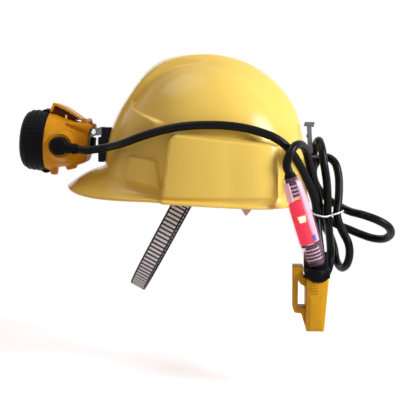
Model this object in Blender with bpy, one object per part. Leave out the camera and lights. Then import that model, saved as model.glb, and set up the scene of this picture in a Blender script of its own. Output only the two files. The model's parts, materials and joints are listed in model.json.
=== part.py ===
"""A miner's cap with its cap lamp: headpiece, cable, rear warning light and battery.

The cap faces -X, +Z is up, and the origin is the centre of the head opening, on the plane
of the rim.  Points are worked out in millimetres and go into the objects in metres.  The
headpiece is built about its tilt pin, with the lamp's axis level, and an empty then sets it
at its resting tilt.  The warning light is built upright and an empty leans it over.
"""
from math import cos, pi, radians, sin

import bmesh
import bpy
import numpy as np
from mathutils import Vector
from mathutils.bvhtree import BVHTree

MM = 0.001
GAP = 0.35                      # clearance between pieces that touch

# ---------------------------------------------------------------- driving dimensions, mm
# Cap shell: profiles of the dome from its crown down to the foot of the wall, (reach, height).
FRONT_PROFILE = [(0, 158), (28, 156.5), (46, 151.5), (62, 139.5), (87, 105), (104, 77), (111, 60), (115, 40)]
REAR_PROFILE = [(0, 158), (38, 150.5), (66, 134), (88, 111), (101, 91), (110, 68), (115, 38), (116, 9)]
SIDE_PROFILE = [(0, 158), (36, 154.5), (60, 143), (79, 121), (90, 93), (95, 66), (98, 34), (100, 9)]
PLAN_POWER = 2.35               # squareness of the dome's plan
SHELL_THICK = 2.6
COMB_RAISE, COMB_HALF_WIDTH, COMB_EDGE = 8.5, 37, 9
PEAK_REACH, PEAK_TIP_Z, PEAK_ARCH_DEG, PEAK_CROWN = 157, 19, 24, 14
BRIM_SIDE, BRIM_REAR, BRIM_Z, BRIM_POWER = 107, 118, 1.5, 2.25
BRIM_RISE = 5.5                 # how much higher the rim is beside the peak than behind
# Raised accessory housings on both sides of the cap.
POD_FRONT_X, POD_REAR_X, POD_PROUD, POD_EDGE = -31, 80, 12, 7
POD_TOP_Z, POD_TOP_FALL, POD_SLANT = 74.7, 0.113, 0.11
# Corners (x, z) of the flat pad in front of each housing, and how proud it stands.
PAD_CORNERS = [(-47.5, 49), (-76.4, 52.4), (-81.5, 28), (-42.5, 20.5)]
PAD_PROUD, PAD_ROOT, PAD_STEPS = 3.2, 1.2, 4

# Suspension: a headband of two half rings and a straight stretch, and two crown straps.
BAND_RADIUS, BAND_STRAIGHT, BAND_THICK, BAND_LOW, BAND_HIGH = 78, 36, 1.8, 4, 36
STRAP_AZIMUTH_DEG, STRAP_WIDTH, STRAP_THICK, STRAP_APEX_Z = 35, 20, 1.2, 122
CHIN_X, CHIN_LEAN, CHIN_WIDTH, CHIN_THICK = -22, 28.5, 18, 1.6

# Headpiece, in its own frame about the tilt pin.
TILT_PIN = (-127, 0, 78)
REST_TILT_DEG = 5
LAMP_Z = -15.2                  # height of the lamp's axis
BEZEL_R, APERTURE_R, LENS_R = 34.5, 21.8, 26
BEZEL_FRONT, BEZEL_REAR = -82.3, -53.6
SEAT_X = -79.1                  # where the bezel's lip holds the lens
COLLAR_X, COLLAR_R, BORE_R = -68.5, 30.8, 27.5
HOUSING_REAR = -5.5
GLAND_X, GLAND_Z, GLAND_R = -33.5, -18, 10.5
SWITCH_BORE_R = 8.3
COVER_PIN_X, COVER_PIN_Z, PIN_BORE_R = -11, 11.5, 1.55
CONTACT_Y, CONTACT_R = (-6.5, 6.5), 2.3

# Warning light and battery.
CORD_D = 9
TAIL_TOP, TAIL_BOTTOM = (93, -104, 33), (121, -99, -58)
CLIP_Y = -16                    # the rear clip stands beside the middle
CASE_X, CASE_Y, CASE_Z = (110, 133.5), (-112, -68), (-127, -71.5)
CASE_TAPER, CASE_WALL = 4.5, 2.2

# ---------------------------------------------------------------- materials

FINISHES = {
    "cap_yellow": ((0.82, 0.62, 0.17), 0.28, 0.0),
    "lamp_yellow": ((0.72, 0.38, 0.02), 0.38, 0.0),
    "black_rubber": ((0.012, 0.012, 0.013), 0.55, 0.0),
    "black_plastic": ((0.02, 0.02, 0.022), 0.4, 0.0),
    "cord_black": ((0.011, 0.011, 0.012), 0.34, 0.0),
    "clear_plastic": ((0.86, 0.84, 0.88), 0.08, 0.0),
    "red_plastic": ((0.75, 0.01, 0.03), 0.25, 0.0),
    "led_white": ((1.0, 0.86, 0.6), 0.3, 0.0),
    "steel": ((0.55, 0.55, 0.57), 0.28, 1.0),
    "brass": ((0.75, 0.52, 0.2), 0.3, 1.0),
    "aluminium": ((0.75, 0.76, 0.78), 0.35, 1.0),
    "chrome": ((0.8, 0.8, 0.82), 0.08, 1.0),
    "board_green": ((0.02, 0.16, 0.07), 0.45, 0.0),
    "cell_silver": ((0.5, 0.5, 0.52), 0.4, 0.0),
    "strap_white": ((0.75, 0.75, 0.73), 0.8, 0.0),
    "foam_grey": ((0.09, 0.09, 0.095), 0.9, 0.0),
    "band_white": ((0.8, 0.79, 0.75), 0.5, 0.0),
    "tab_pink": ((0.8, 0.42, 0.34), 0.7, 0.0),
    "tie_white": ((0.85, 0.85, 0.83), 0.6, 0.0),
}


def finish(name):
    mat = bpy.data.materials.get(name)
    if mat is None:
        colour, roughness, metallic = FINISHES[name]
        mat = bpy.data.materials.new(name)
        mat.use_nodes = True
        shader = mat.node_tree.nodes["Principled BSDF"]
        shader.inputs["Base Color"].default_value = (*colour, 1)
        shader.inputs["Roughness"].default_value = roughness
        shader.inputs["Metallic"].default_value = metallic
    return mat


# ---------------------------------------------------------------- building blocks


def clear_scene():
    for ob in list(bpy.data.objects):
        bpy.data.objects.remove(ob, do_unlink=True)


def link(name, data, mat, parent=None):
    data.materials.append(finish(mat))
    ob = bpy.data.objects.new(name, data)
    bpy.context.scene.collection.objects.link(ob)
    ob.parent = parent
    return ob


def frame(name, origin, rotation):
    """An empty that carries pieces built about their own origin."""
    ob = bpy.data.objects.new(name, None)
    bpy.context.scene.collection.objects.link(ob)
    ob.location = Vector(origin) * MM
    ob.rotation_euler = rotation
    return ob


def solid(name, verts, faces, mat, parent=None, sharp_deg=35):
    """One object from points in millimetres, its faces turned outwards."""
    mesh = bpy.data.meshes.new(name)
    mesh.from_pydata([tuple(v) for v in np.asarray(verts, float) * MM], [], [tuple(f) for f in faces])
    work = bmesh.new()
    work.from_mesh(mesh)
    bmesh.ops.recalc_face_normals(work, faces=work.faces)
    work.to_mesh(mesh)
    work.free()
    mesh.shade_smooth()
    mesh.set_sharp_from_angle(angle=radians(sharp_deg))
    return link(name, mesh, mat, parent)


def several(*shapes):
    """Join (verts, faces) shapes that stay apart into one."""
    verts, faces, start = [], [], 0
    for v, f in shapes:
        verts += [tuple(p) for p in v]
        faces += [tuple(i + start for i in face) for face in f]
        start += len(v)
    return verts, faces


def stack(rings, closed=False):
    """Skin rings of equally many points; a closed stack joins its last ring to its first."""
    rings = [np.asarray(r, float) for r in rings]
    n = len(rings[0])
    verts = [tuple(p) for ring in rings for p in ring]
    faces = []
    pairs = list(zip(range(len(rings)), range(1, len(rings))))
    if closed:
        pairs.append((len(rings) - 1, 0))
    for a, b in pairs:
        faces += [(a * n + i, a * n + (i + 1) % n, b * n + (i + 1) % n, b * n + i) for i in range(n)]
    if not closed:
        faces.append(tuple(range(n))[::-1])
        faces.append(tuple((len(rings) - 1) * n + i for i in range(n)))
    return verts, faces


AXES = {"x": ((0, 1, 0), (0, 0, 1), (1, 0, 0)), "y": ((0, 0, 1), (1, 0, 0), (0, 1, 0)),
        "z": ((1, 0, 0), (0, 1, 0), (0, 0, 1))}


def turned(profile, axis="z", centre=(0, 0, 0), sides=32, loop=False):
    """Turn a profile of (along, radius) points about an axis.

    A plain profile runs from end to end and is capped there; a loop is a ring's section.
    """
    u, v, w = (np.array(a, float) for a in AXES[axis])
    turn = np.arange(sides) * 2 * pi / sides
    circle = np.cos(turn)[:, None] * u + np.sin(turn)[:, None] * v
    rings = [np.array(centre, float) + w * along + circle * radius for along, radius in profile]
    return stack(rings, closed=loop)


def extruded(outline, along, axis="y"):
    """Extrude an outline in the plane across an axis from along[0] to along[1]."""
    u, v, w = (np.array(a, float) for a in AXES[axis])
    ends = [[u * a + v * b + w * c for a, b in outline] for c in along]
    return stack(ends)


def side_view(outline, along):
    """Extrude an outline given as (x, z) across Y."""
    return extruded([(z, x) for x, z in outline], along, "y")


def block(lo, hi):
    (x0, y0, z0), (x1, y1, z1) = lo, hi
    return extruded([(x0, y0), (x1, y0), (x1, y1), (x0, y1)], (z0, z1), "z")


def round_block(lo, hi, radius, steps=4):
    """A block with its upright edges rounded."""
    (x0, y0, z0), (x1, y1, z1) = lo, hi
    outline = []
    for cx, cy, start in ((x1 - radius, y1 - radius, 0), (x0 + radius, y1 - radius, 90),
                          (x0 + radius, y0 + radius, 180), (x1 - radius, y0 + radius, 270)):
        for k in range(steps + 1):
            a = radians(start + 90 * k / steps)
            outline.append((cx + radius * cos(a), cy + radius * sin(a)))
    return extruded(outline, (z0, z1), "z")


def make(name, shape, mat, parent=None, bevel=0.0, sharp_deg=35):
    ob = solid(name, *shape, mat, parent, sharp_deg)
    if bevel:
        mod = ob.modifiers.new("edge", "BEVEL")
        mod.width = bevel * MM
        mod.segments = 2
        mod.limit_method = "ANGLE"
        mod.angle_limit = radians(40)
        mod.miter_outer = "MITER_ARC"
    return ob


def combine(target, shape, operation="DIFFERENCE"):
    """Cut a shape out of a piece, or join one to it, with a Boolean that stays live."""
    tool = solid(f"{target.name}_{operation.lower()}_{len(target.modifiers)}", *shape, "steel", target.parent)
    tool.hide_render = True
    tool.hide_viewport = True
    tool.display_type = "WIRE"
    mod = target.modifiers.new(operation.lower(), "BOOLEAN")
    mod.operation = operation
    mod.object = tool
    mod.solver = "EXACT"
    return target


def smooth_curve(points, count, closed=False):
    """Evenly spaced points on a centripetal Catmull-Rom curve through the given ones.

    count is how many, or an array of the shares of the curve's length to read it at.
    """
    p = np.asarray(points, float)
    p = np.vstack([p[-1], p, p[:2]]) if closed else np.vstack([2 * p[0] - p[1], p, 2 * p[-1] - p[-2]])
    fine = []
    for a, b, c, d in zip(p[:-3], p[1:-2], p[2:-1], p[3:]):
        t1 = np.linalg.norm(b - a) ** 0.5
        t2 = t1 + np.linalg.norm(c - b) ** 0.5
        t3 = t2 + np.linalg.norm(d - c) ** 0.5
        t = np.linspace(t1, t2, 24, endpoint=False)[:, None]
        ab = (t1 - t) / t1 * a + t / t1 * b
        bc = (t2 - t) / (t2 - t1) * b + (t - t1) / (t2 - t1) * c
        cd = (t3 - t) / (t3 - t2) * c + (t - t2) / (t3 - t2) * d
        abc = (t2 - t) / t2 * ab + t / t2 * bc
        bcd = (t3 - t) / (t3 - t1) * bc + (t - t1) / (t3 - t1) * cd
        fine.append((t2 - t) / (t2 - t1) * abc + (t - t1) / (t2 - t1) * bcd)
    fine.append(p[-2][None])
    fine = np.concatenate(fine)
    along = np.concatenate([[0], np.cumsum(np.linalg.norm(np.diff(fine, axis=0), axis=1))])
    shares = np.linspace(0, 1, count) if np.isscalar(count) else np.asarray(count)
    return np.stack([np.interp(shares * along[-1], along, fine[:, k]) for k in range(p.shape[1])], axis=1)


def curve_length(points):
    return float(np.linalg.norm(np.diff(points, axis=0), axis=1).sum())


def tube(name, points, diameter, mat, resolution, parent=None, cyclic=False):
    """A round tube along points, as a poly curve with filled ends."""
    data = bpy.data.curves.new(name, "CURVE")
    data.dimensions = "3D"
    data.bevel_depth = diameter / 2 * MM
    data.bevel_resolution = resolution
    data.use_fill_caps = not cyclic
    data.resolution_u = data.render_resolution_u = 1
    spline = data.splines.new("POLY")
    spline.points.add(len(points) - 1)
    for point, place in zip(spline.points, points):
        point.co = (*(np.asarray(place) * MM), 1)
    spline.use_cyclic_u = cyclic
    return link(name, data, mat, parent)


def least_self_gap(points, diameter, skip):
    """Least clearance between stretches of a tube that lie more than skip apart along it."""
    fine = smooth_curve(points, 900)
    step = curve_length(fine) / (len(fine) - 1)
    far = max(1, int(skip / step))
    gaps = [np.linalg.norm(fine[i + far:] - fine[i], axis=1).min() for i in range(len(fine) - far)]
    return min(gaps) - diameter


def ease(x):
    """Smooth step from 0 to 1 as x goes from 0 to 1."""
    x = np.clip(x, 0, 1)
    return x * x * (3 - 2 * x)


# ---------------------------------------------------------------- cap shell

# Plan angles of the shell's columns at the foot of the wall, from the rear round to the
# front, and the x at which each side column leaves the patch on top of the crown.
REAR_COLUMNS = [(0, 0), (16, 8), (31.5, 15.9), (37, 18.8), (42.5, 24)]
SIDE_COLUMNS = [(52, 30), (49, 36), (46, 42), (43, 44.6), (40, 47.2), (34, 54), (26, 62), (17, 71), (8, 80),
                (-1, 90), (-10, 98), (-18, 105.6), (-21, 107.6), (-24, 109.4), (-28, 116), (-32, 124),
                (-36, 132), (-39, 140), (-42, 148)]
PATCH_REAR, PATCH_FRONT = 55, -45
COMMON_LEVEL = 0.5
LEVELS = [0.58, 0.64, 0.665, 0.69, 0.715, 0.75, 0.82, 0.91, 1.0]
BRIM_ROWS = [0.3, 0.65, 1.0]
TABLE = np.linspace(0, 1, 241)
FRONT_CURVE = smooth_curve(FRONT_PROFILE, TABLE)
REAR_CURVE = smooth_curve(REAR_PROFILE, TABLE)
SIDE_CURVE = smooth_curve(SIDE_PROFILE, TABLE)


def read(curve, level, part):
    return np.interp(level, TABLE, curve[:, part])


def plan_value(x, y, level):
    """Below 1 inside the dome's plan outline at a level, above 1 outside it."""
    reach = np.where(x > 0, read(REAR_CURVE, level, 0), read(FRONT_CURVE, level, 0)) + 1e-9
    side = read(SIDE_CURVE, level, 0) + 1e-9
    power = 2 + (PLAN_POWER - 2) * side / SIDE_CURVE[-1, 0]
    return (np.abs(x) / reach) ** power + (np.abs(y) / side) ** power


def halve(low, high, is_past, rounds=40):
    """Find by halving where a condition starts to hold between low and high."""
    for _ in range(rounds):
        middle = (low + high) / 2
        past = is_past(middle)
        high = np.where(past, middle, high)
        low = np.where(past, low, middle)
    return (low + high) / 2


def level_at(x, y):
    return halve(np.zeros_like(x), np.ones_like(x), lambda level: plan_value(x, y, level) < 1)


def dome_height(x, y, level):
    """Height of the dome: front, side and rear profiles blended by direction."""
    direction = np.arctan2(np.abs(y), x)
    side_share = np.sin(direction) ** 2
    rear = read(REAR_CURVE, level, 1)
    side = read(SIDE_CURVE, level, 1)
    front = read(FRONT_CURVE, level, 1)
    front_share = ease(1 - (pi - direction) / radians(75))
    return np.where(x > 0, rear + (side - rear) * side_share, side + (front - side) * front_share)


def brim_reach(direction):
    c, s = np.cos(direction), np.abs(np.sin(direction))
    along = np.where(c > 0, BRIM_REAR, PEAK_REACH)
    return ((np.abs(c) / along) ** BRIM_POWER + (s / BRIM_SIDE) ** BRIM_POWER) ** (-1 / BRIM_POWER)


def column_starts():
    """Patch edge points and foot angles of all columns, in order round the cap."""
    half = [((PATCH_REAR, y), a) for y, a in REAR_COLUMNS]
    half += [((x, REAR_COLUMNS[-1][0]), a) for x, a in SIDE_COLUMNS]
    half += [((PATCH_FRONT, y), 180 - a) for y, a in REAR_COLUMNS[::-1]]
    other = [((x, -y), -a) for (x, y), a in half[-2:0:-1]]
    starts = np.array([p for p, _ in half + other], float)
    return starts, np.radians([a for _, a in half + other])


def shell_points():
    """The dome and brim before comb and housings: patch points, then rows of the columns.

    Rows near the housings' top edge lean with it, and columns near their front edge slant.
    """
    starts, angles = column_starts()
    lines_x = [PATCH_REAR] + [x for x, _ in SIDE_COLUMNS] + [PATCH_FRONT]
    half_y = [y for y, _ in REAR_COLUMNS]
    lines_y = half_y[::-1] + [-y for y in half_y[1:]]
    patch = np.array([(x, y) for x in lines_x for y in lines_y], float)
    level = level_at(patch[:, 0], patch[:, 1])
    rows = [np.column_stack([patch, dome_height(patch[:, 0], patch[:, 1], level)])]
    start_level = level_at(starts[:, 0], starts[:, 1])
    foot_far = 140 * np.column_stack([np.cos(angles), np.sin(angles)])
    foot_share = halve(np.zeros(len(angles)), np.ones(len(angles)),
                       lambda f: plan_value(*(foot_far * f[:, None]).T, 1.0) > 1)
    foot = foot_far * foot_share[:, None]
    levels = [start_level + (COMMON_LEVEL - start_level) * k / 3 for k in (1, 2, 3)]
    for base in LEVELS:
        lean = np.clip(9.6 * (base - COMMON_LEVEL) * (1 - base), 0, 1)
        levels.append(base + POD_TOP_FALL * foot[:, 0] * 0.72 / np.ptp(SIDE_CURVE[:, 1]) * lean)
    nearly_pod_front = np.exp(-((foot[:, 0] - POD_FRONT_X) / 14) ** 2)
    for row_level in levels:
        drop = np.maximum(0, POD_TOP_Z - dome_height(foot[:, 0], foot[:, 1], row_level))
        aim = foot - np.column_stack([POD_SLANT * drop * nearly_pod_front, np.zeros(len(foot))])
        share = halve(np.zeros(len(angles)), np.full(len(angles), 1.4),
                      lambda f: plan_value(*(starts + (aim - starts) * f[:, None]).T, row_level) > 1)
        at = starts + (aim - starts) * share[:, None]
        rows.append(np.column_stack([at, dome_height(at[:, 0], at[:, 1], row_level)]))
    last = rows[-1]
    direction = np.arctan2(last[:, 1], last[:, 0])
    arch = np.exp(-((pi - np.abs(direction)) / radians(PEAK_ARCH_DEG)) ** 2)
    reach = brim_reach(direction)
    edge = np.column_stack([reach * np.cos(direction), reach * np.sin(direction),
                            np.zeros(len(direction))])
    side_z = BRIM_Z + BRIM_RISE * ease((45 - edge[:, 0]) / 150)
    edge[:, 2] = side_z + (PEAK_TIP_Z - side_z) * arch
    for share in BRIM_ROWS:
        row = last + (edge - last) * share
        row[:, 2] += PEAK_CROWN * share * (1 - share) * arch
        row[:, 2] -= (last[:, 2] - edge[:, 2]) * 0.7 * share * (1 - share) * (1 - arch)
        rows.append(row)
    return rows, len(lines_x), len(lines_y)


def shell_faces(columns, rows, across_x, across_y):
    """Quads of the patch and of the rows hanging from its edge."""
    faces = []
    for i in range(across_x - 1):
        for j in range(across_y - 1):
            a = i * across_y + j
            faces.append((a, a + across_y, a + across_y + 1, a + 1))
    middle = across_y // 2
    rim = [middle - k for k in range(middle + 1)]
    rim += [i * across_y for i in range(1, across_x)]
    rim += [(across_x - 1) * across_y + k for k in range(1, across_y)]
    rim += [i * across_y + across_y - 1 for i in range(across_x - 2, -1, -1)]
    rim += [across_y - 1 - k for k in range(1, middle)]
    first = across_x * across_y
    ring = list(rim)
    for row in range(rows):
        below = [first + row * columns + k for k in range(columns)]
        faces += [(ring[k], below[k], below[(k + 1) % columns], ring[(k + 1) % columns])
                  for k in range(columns)]
        ring = below
    return faces, ring


def vertex_normals(points, faces):
    """Outward normals: each point takes the mean of its faces' diagonals' cross products."""
    quads = np.array(faces)
    cross = np.cross(points[quads[:, 2]] - points[quads[:, 0]], points[quads[:, 3]] - points[quads[:, 1]])
    normals = np.zeros_like(points)
    for corner in range(4):
        np.add.at(normals, quads[:, corner], cross)
    normals /= np.linalg.norm(normals, axis=1, keepdims=True)
    return normals if normals[0, 2] > 0 else -normals


def raise_comb(points, normals):
    """The comb: a broad raised band along the crown that spreads into an apron in front."""
    across = ease((COMB_HALF_WIDTH - np.abs(points[:, 1])) / COMB_EDGE + 0.5)
    fade = np.where(points[:, 0] < 0, ease((points[:, 2] - 46) / 60), ease((points[:, 2] - 60) / 60))
    spread = COMB_HALF_WIDTH + 46 * ease((113 - points[:, 2]) / 26)
    apron = ease((spread - np.abs(points[:, 1])) / COMB_EDGE + 0.5) * ease((points[:, 2] - 66) / 34)
    apron *= ease(-points[:, 0] / 12) * 0.55
    return points + normals * (COMB_RAISE * np.maximum(across * fade, apron))[:, None]


def raise_pods(points):
    """The side housings: the wall steps outwards inside their outline."""
    x, y, z = points.T
    top = POD_TOP_Z - POD_TOP_FALL * x
    front = POD_FRONT_X - POD_SLANT * np.maximum(0, POD_TOP_Z - z)
    share = (ease((top - z) / POD_EDGE + 0.5) * ease((x - front) / POD_EDGE + 0.5)
             * ease((POD_REAR_X - x) / POD_EDGE + 0.5))
    share = share * (np.abs(y) > COMB_HALF_WIDTH)
    proud = np.maximum(POD_PROUD - np.maximum(0, 12 - z) * 0.6, 3)
    reach = np.maximum(np.hypot(x, y), 1)
    grown = points.copy()
    grown[:, :2] *= (1 + share * proud / reach)[:, None]
    return grown


def shell_surface():
    rows, across_x, across_y = shell_points()
    faces, rim = shell_faces(len(rows[1]), len(rows) - 1, across_x, across_y)
    points = np.concatenate(rows)
    points = raise_pods(raise_comb(points, vertex_normals(points, faces)))
    return points, faces, rim


def cap_shell():
    outer, faces, rim = shell_surface()
    inner = outer - vertex_normals(outer, faces) * SHELL_THICK
    start = len(outer)
    n = len(rim)
    walls = list(faces) + [tuple(i + start for i in face[::-1]) for face in faces]
    walls += [(rim[k], rim[(k + 1) % n], rim[(k + 1) % n] + start, rim[k] + start) for k in range(n)]
    ob = make("cap_shell", (np.concatenate([outer, inner]), walls), "cap_yellow")
    tree = BVHTree.FromPolygons([Vector(p) for p in outer], faces)
    for side in (-1, 1):
        combine(ob, front_pad(tree, side), "UNION")
    return inner, tree


def front_pad(tree, side):
    """The flat pad in front of a side housing: two grids that follow the wall, joined round."""
    a, b, c, d = (np.array(corner, float) for corner in PAD_CORNERS)
    n = PAD_STEPS + 1
    root, face = [], []
    for u in np.linspace(0, 1, n):
        for v in np.linspace(0, 1, n):
            x, z = (a * (1 - u) + b * u) * (1 - v) + (d * (1 - u) + c * u) * v
            y = tree.ray_cast(Vector((x, side * 300, z)), Vector((0, -side, 0)))[0].y
            root.append((x, y - side * PAD_ROOT, z))
            face.append((x, y + side * PAD_PROUD, z))
    quads = [(i * n + j, i * n + j + 1, (i + 1) * n + j + 1, (i + 1) * n + j)
             for i in range(n - 1) for j in range(n - 1)]
    faces = quads + [tuple(k + n * n for k in quad[::-1]) for quad in quads]
    edge = [j for j in range(n)] + [i * n + n - 1 for i in range(1, n)]
    edge += [(n - 1) * n + j for j in range(n - 2, -1, -1)] + [i * n for i in range(n - 2, 0, -1)]
    faces += [(p, q, q + n * n, p + n * n) for p, q in zip(edge, edge[1:] + edge[:1])]
    return root + face, faces


def wall_x(sign, y, z):
    """Where the cap's outer surface stands at (y, z), on its front (-1) or rear (+1) side."""
    hit = SHELL_TREE.ray_cast(Vector((sign * 300, y, z)), Vector((-sign, 0, 0)))[0]
    return hit.x


# ---------------------------------------------------------------- suspension inside the cap


def band_plan(offset, start_deg=0, stop_deg=360, steps=48):
    """Points on the headband's plan, moved outwards by offset; angle 0 is the rear."""
    points = []
    for k in range(steps + (stop_deg - start_deg < 360)):
        a = radians(start_deg + (stop_deg - start_deg) * k / steps)
        shift = BAND_STRAIGHT / 2 * np.clip(cos(a) * 4, -1, 1)
        points.append((shift + (BAND_RADIUS + offset) * cos(a), (BAND_RADIUS + offset) * sin(a)))
    return points


def ring_wall(inner_offset, outer_offset, low, high, steps=48):
    """A closed band round the head, as a loop of its section."""
    inner, outer = band_plan(inner_offset, steps=steps), band_plan(outer_offset, steps=steps)
    return stack([[(x, y, z) for x, y in plan] for plan, z in
                  ((inner, low), (outer, low), (outer, high), (inner, high))], closed=True)


def arc_wall(inner_offset, outer_offset, low, high, start_deg, stop_deg, steps):
    """A band that goes only part of the way round the head."""
    outline = band_plan(inner_offset, start_deg, stop_deg, steps)
    outline += band_plan(outer_offset, start_deg, stop_deg, steps)[::-1]
    return extruded(outline, (low, high), "z")


def ribbon(points, normals, across, width, thick):
    """A flat strap along points: across is its width's direction, normals its face's."""
    across = np.asarray(across, float)
    rings = []
    for p, n in zip(np.asarray(points, float), np.asarray(normals, float)):
        rings.append([p - across * width / 2, p + across * width / 2,
                      p + across * width / 2 + n * thick, p - across * width / 2 + n * thick])
    return stack(rings)


def path_normals(points, across):
    """Unit normals of a strap along points, square to its width."""
    tangents = np.gradient(points, axis=0)
    normals = np.cross(tangents, across)
    return normals / np.linalg.norm(normals, axis=1, keepdims=True)


def band_reach(azimuth_deg):
    """How far the headband's outer face is from the middle in one direction."""
    plan = np.array(band_plan(BAND_THICK, steps=720))
    angles = np.abs(np.arctan2(plan[:, 1], plan[:, 0]) - radians(azimuth_deg))
    return float(np.hypot(*plan[angles.argmin()]))


def crown_strap(name, azimuth_deg, apex_z):
    """A webbing strap over the head, from one side of the headband to the other."""
    reach = band_reach(azimuth_deg) + 1.2
    half = [(reach, 12), (reach + 0.3, 30), (reach - 3, 56), (reach - 16, 86), (reach - 42, 110), (0, apex_z)]
    course = smooth_curve(half + [(-r, z) for r, z in half[-2::-1]], 25)
    a = radians(azimuth_deg)
    points = np.column_stack([course[:, 0] * cos(a), course[:, 0] * sin(a), course[:, 1]])
    across = np.array([-sin(a), cos(a), 0])
    normals = path_normals(points, across)
    if normals[12, 2] < 0:
        normals = -normals
    make(name, ribbon(points, normals, across, STRAP_WIDTH, STRAP_THICK), "strap_white")


def suspension_key(name, azimuth_deg):
    """The hook that joins headband and crown strap to a socket in the cap's wall."""
    a = radians(azimuth_deg)
    out, across = np.array([cos(a), sin(a), 0]), np.array([-sin(a), cos(a), 0])
    wall = INNER[(np.abs(INNER[:, 2] - 20) < 14) & (INNER[:, :2] @ out[:2] > 60)
                 & (np.abs(INNER[:, :2] @ across[:2]) < 22)]
    start = band_reach(azimuth_deg) + 1.5 + STRAP_THICK + 2 * GAP
    stop = float((wall[:, :2] @ out[:2]).min()) - 0.5
    width = 9
    outline = [out * start - across * width, out * (start + 3) - across * (width + 2),
               out * stop - across * (width - 3), out * stop + across * (width - 3),
               out * (start + 3) + across * (width + 2), out * start + across * width]
    make(name, extruded([p[:2] for p in outline], (13, 27), "z"), "band_white", bevel=0.8)


def chin_strap():
    """Webbing under the chin: a U in a plane that leans forward, and its two anchors."""
    lean = radians(CHIN_LEAN)
    down, across = np.array([-sin(lean), 0, -cos(lean)]), np.array([cos(lean), 0, -sin(lean)])
    half = [(82, 3), (81, 28), (77, 56), (68, 82), (50, 103), (26, 113)]
    course = smooth_curve([(-y, d) for y, d in half] + [(0, 116.5)] + half[::-1], 31)
    anchor = np.array([CHIN_X, 0, 4])
    points = anchor + course[:, :1] * np.array([0, 1, 0]) + course[:, 1:] * down
    normals = path_normals(points, across)
    if normals[15, 2] > 0:
        normals = -normals
    make("chin_strap", ribbon(points, normals, across, CHIN_WIDTH, CHIN_THICK), "strap_white")
    for name, side in (("chin_anchor_near", -1), ("chin_anchor_far", 1)):
        inner, outer = side * (BAND_RADIUS + BAND_THICK + GAP + 0.3), side * (BAND_RADIUS + BAND_THICK + 4.4)
        make(name, block((CHIN_X - 7, min(inner, outer), 8), (CHIN_X + 9, max(inner, outer), 20)),
             "black_plastic", bevel=0.8)


def suspension():
    make("headband", ring_wall(0, BAND_THICK, BAND_LOW, BAND_HIGH), "band_white")
    make("sweatband", arc_wall(-3.4, -GAP, BAND_LOW + 2, BAND_HIGH - 3, 100, 260, 24), "foam_grey")
    outside = BAND_THICK + GAP
    nape_thick = 1.6
    make("nape_band", arc_wall(outside, outside + nape_thick, 8, 30, -22, 22, 8), "band_white")
    stud_x = BAND_STRAIGHT / 2 + BAND_RADIUS + outside + nape_thick
    for name, y in (("nape_stud_1", -15), ("nape_stud_2", 15)):
        head = [(0, 3.4), (1.6, 3.4), (2.4, 2.4)]
        make(name, turned(head, "x", (stud_x + 0.1, y, 19), 16), "black_plastic")
    for k, sign in enumerate((-1, 1)):
        crown_strap(f"crown_strap_{k + 1}", sign * STRAP_AZIMUTH_DEG, STRAP_APEX_Z + k * (STRAP_THICK + 1.6))
    for k, azimuth in enumerate((-STRAP_AZIMUTH_DEG, STRAP_AZIMUTH_DEG,
                                 180 - STRAP_AZIMUTH_DEG, STRAP_AZIMUTH_DEG - 180)):
        suspension_key(f"suspension_key_{k + 1}", azimuth)
    chin_strap()
    for name, side in (("headband_tab_near", -1), ("headband_tab_far", 1)):
        face = BAND_RADIUS + BAND_THICK + GAP
        plan = sorted((side * (face + 0.9), side * (face + 2.5)))
        make(name, side_view([(34, 14), (52, 14), (57, 2), (47, -10), (39, 2)], plan), "tab_pink")


# ---------------------------------------------------------------- bracket on the cap's front

BLADE = (7.6, 9.1)              # x of the hook's blade behind the tilt pin
BLADE_HALF, BLADE_LOW = 11, -32
EAR_R = 4.5


def lamp_bracket():
    """A plastic channel on the front of the cap; the lamp hook's blade slides down into it."""
    pin_x, _, pin_z = TILT_PIN
    front, behind = pin_x + BLADE[0] - 2.8, pin_x + BLADE[1] + GAP
    low, rail_top, top = pin_z + BLADE_LOW - 2, pin_z - EAR_R - 0.8, pin_z + 5.5
    wall = [(wall_x(-1, 0, z) - 0.8, z) for z in np.linspace(low, top, 5)]
    outline = [(front + 1, low)] + wall + [(behind, top), (behind, rail_top), (front + 1.5, rail_top),
                                          (front, rail_top - 1.5), (front, low + 1)]
    ob = make("lamp_bracket", side_view(outline, (-15, 15)), "black_plastic")
    slot = block((pin_x + BLADE[0] - GAP, -BLADE_HALF - GAP, pin_z + BLADE_LOW - GAP),
                 (behind, BLADE_HALF + GAP, top))
    window = block((front - 5, -6, low + 9), (pin_x + BLADE[0] + 0.3, 6, top))
    combine(ob, slot)
    combine(ob, window)


def lamp_hook():
    """Steel plate: a blade for the bracket and two ears round the tilt pin."""
    pin_x, _, pin_z = TILT_PIN
    outline = [(BLADE_LOW, -BLADE_HALF + 2), (BLADE_LOW + 2, -BLADE_HALF), (-2, -BLADE_HALF), (2, -13.6),
               (6, -13.6), (6, 13.6), (2, 13.6), (-2, BLADE_HALF), (BLADE_LOW + 2, BLADE_HALF),
               (BLADE_LOW, BLADE_HALF - 2)]
    plate = extruded([(y, pin_z + z) for z, y in outline], (pin_x + BLADE[0], pin_x + BLADE[1]), "x")
    ob = make("lamp_hook", plate, "steel")
    for side in (-1, 1):
        arc = [(EAR_R * cos(a), EAR_R * sin(a)) for a in np.linspace(radians(80), radians(300), 12)]
        ear = [(pin_x + x, pin_z + z) for x, z in arc] + [(pin_x + BLADE[1] - 0.2, pin_z - 3),
                                                          (pin_x + BLADE[1] - 0.2, pin_z + 5.6)]
        combine(ob, side_view(ear, sorted((side * 12, side * 13.6))), "UNION")
    combine(ob, turned([(-20, 2.1), (20, 2.1)], "y", TILT_PIN, 20))


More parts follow.
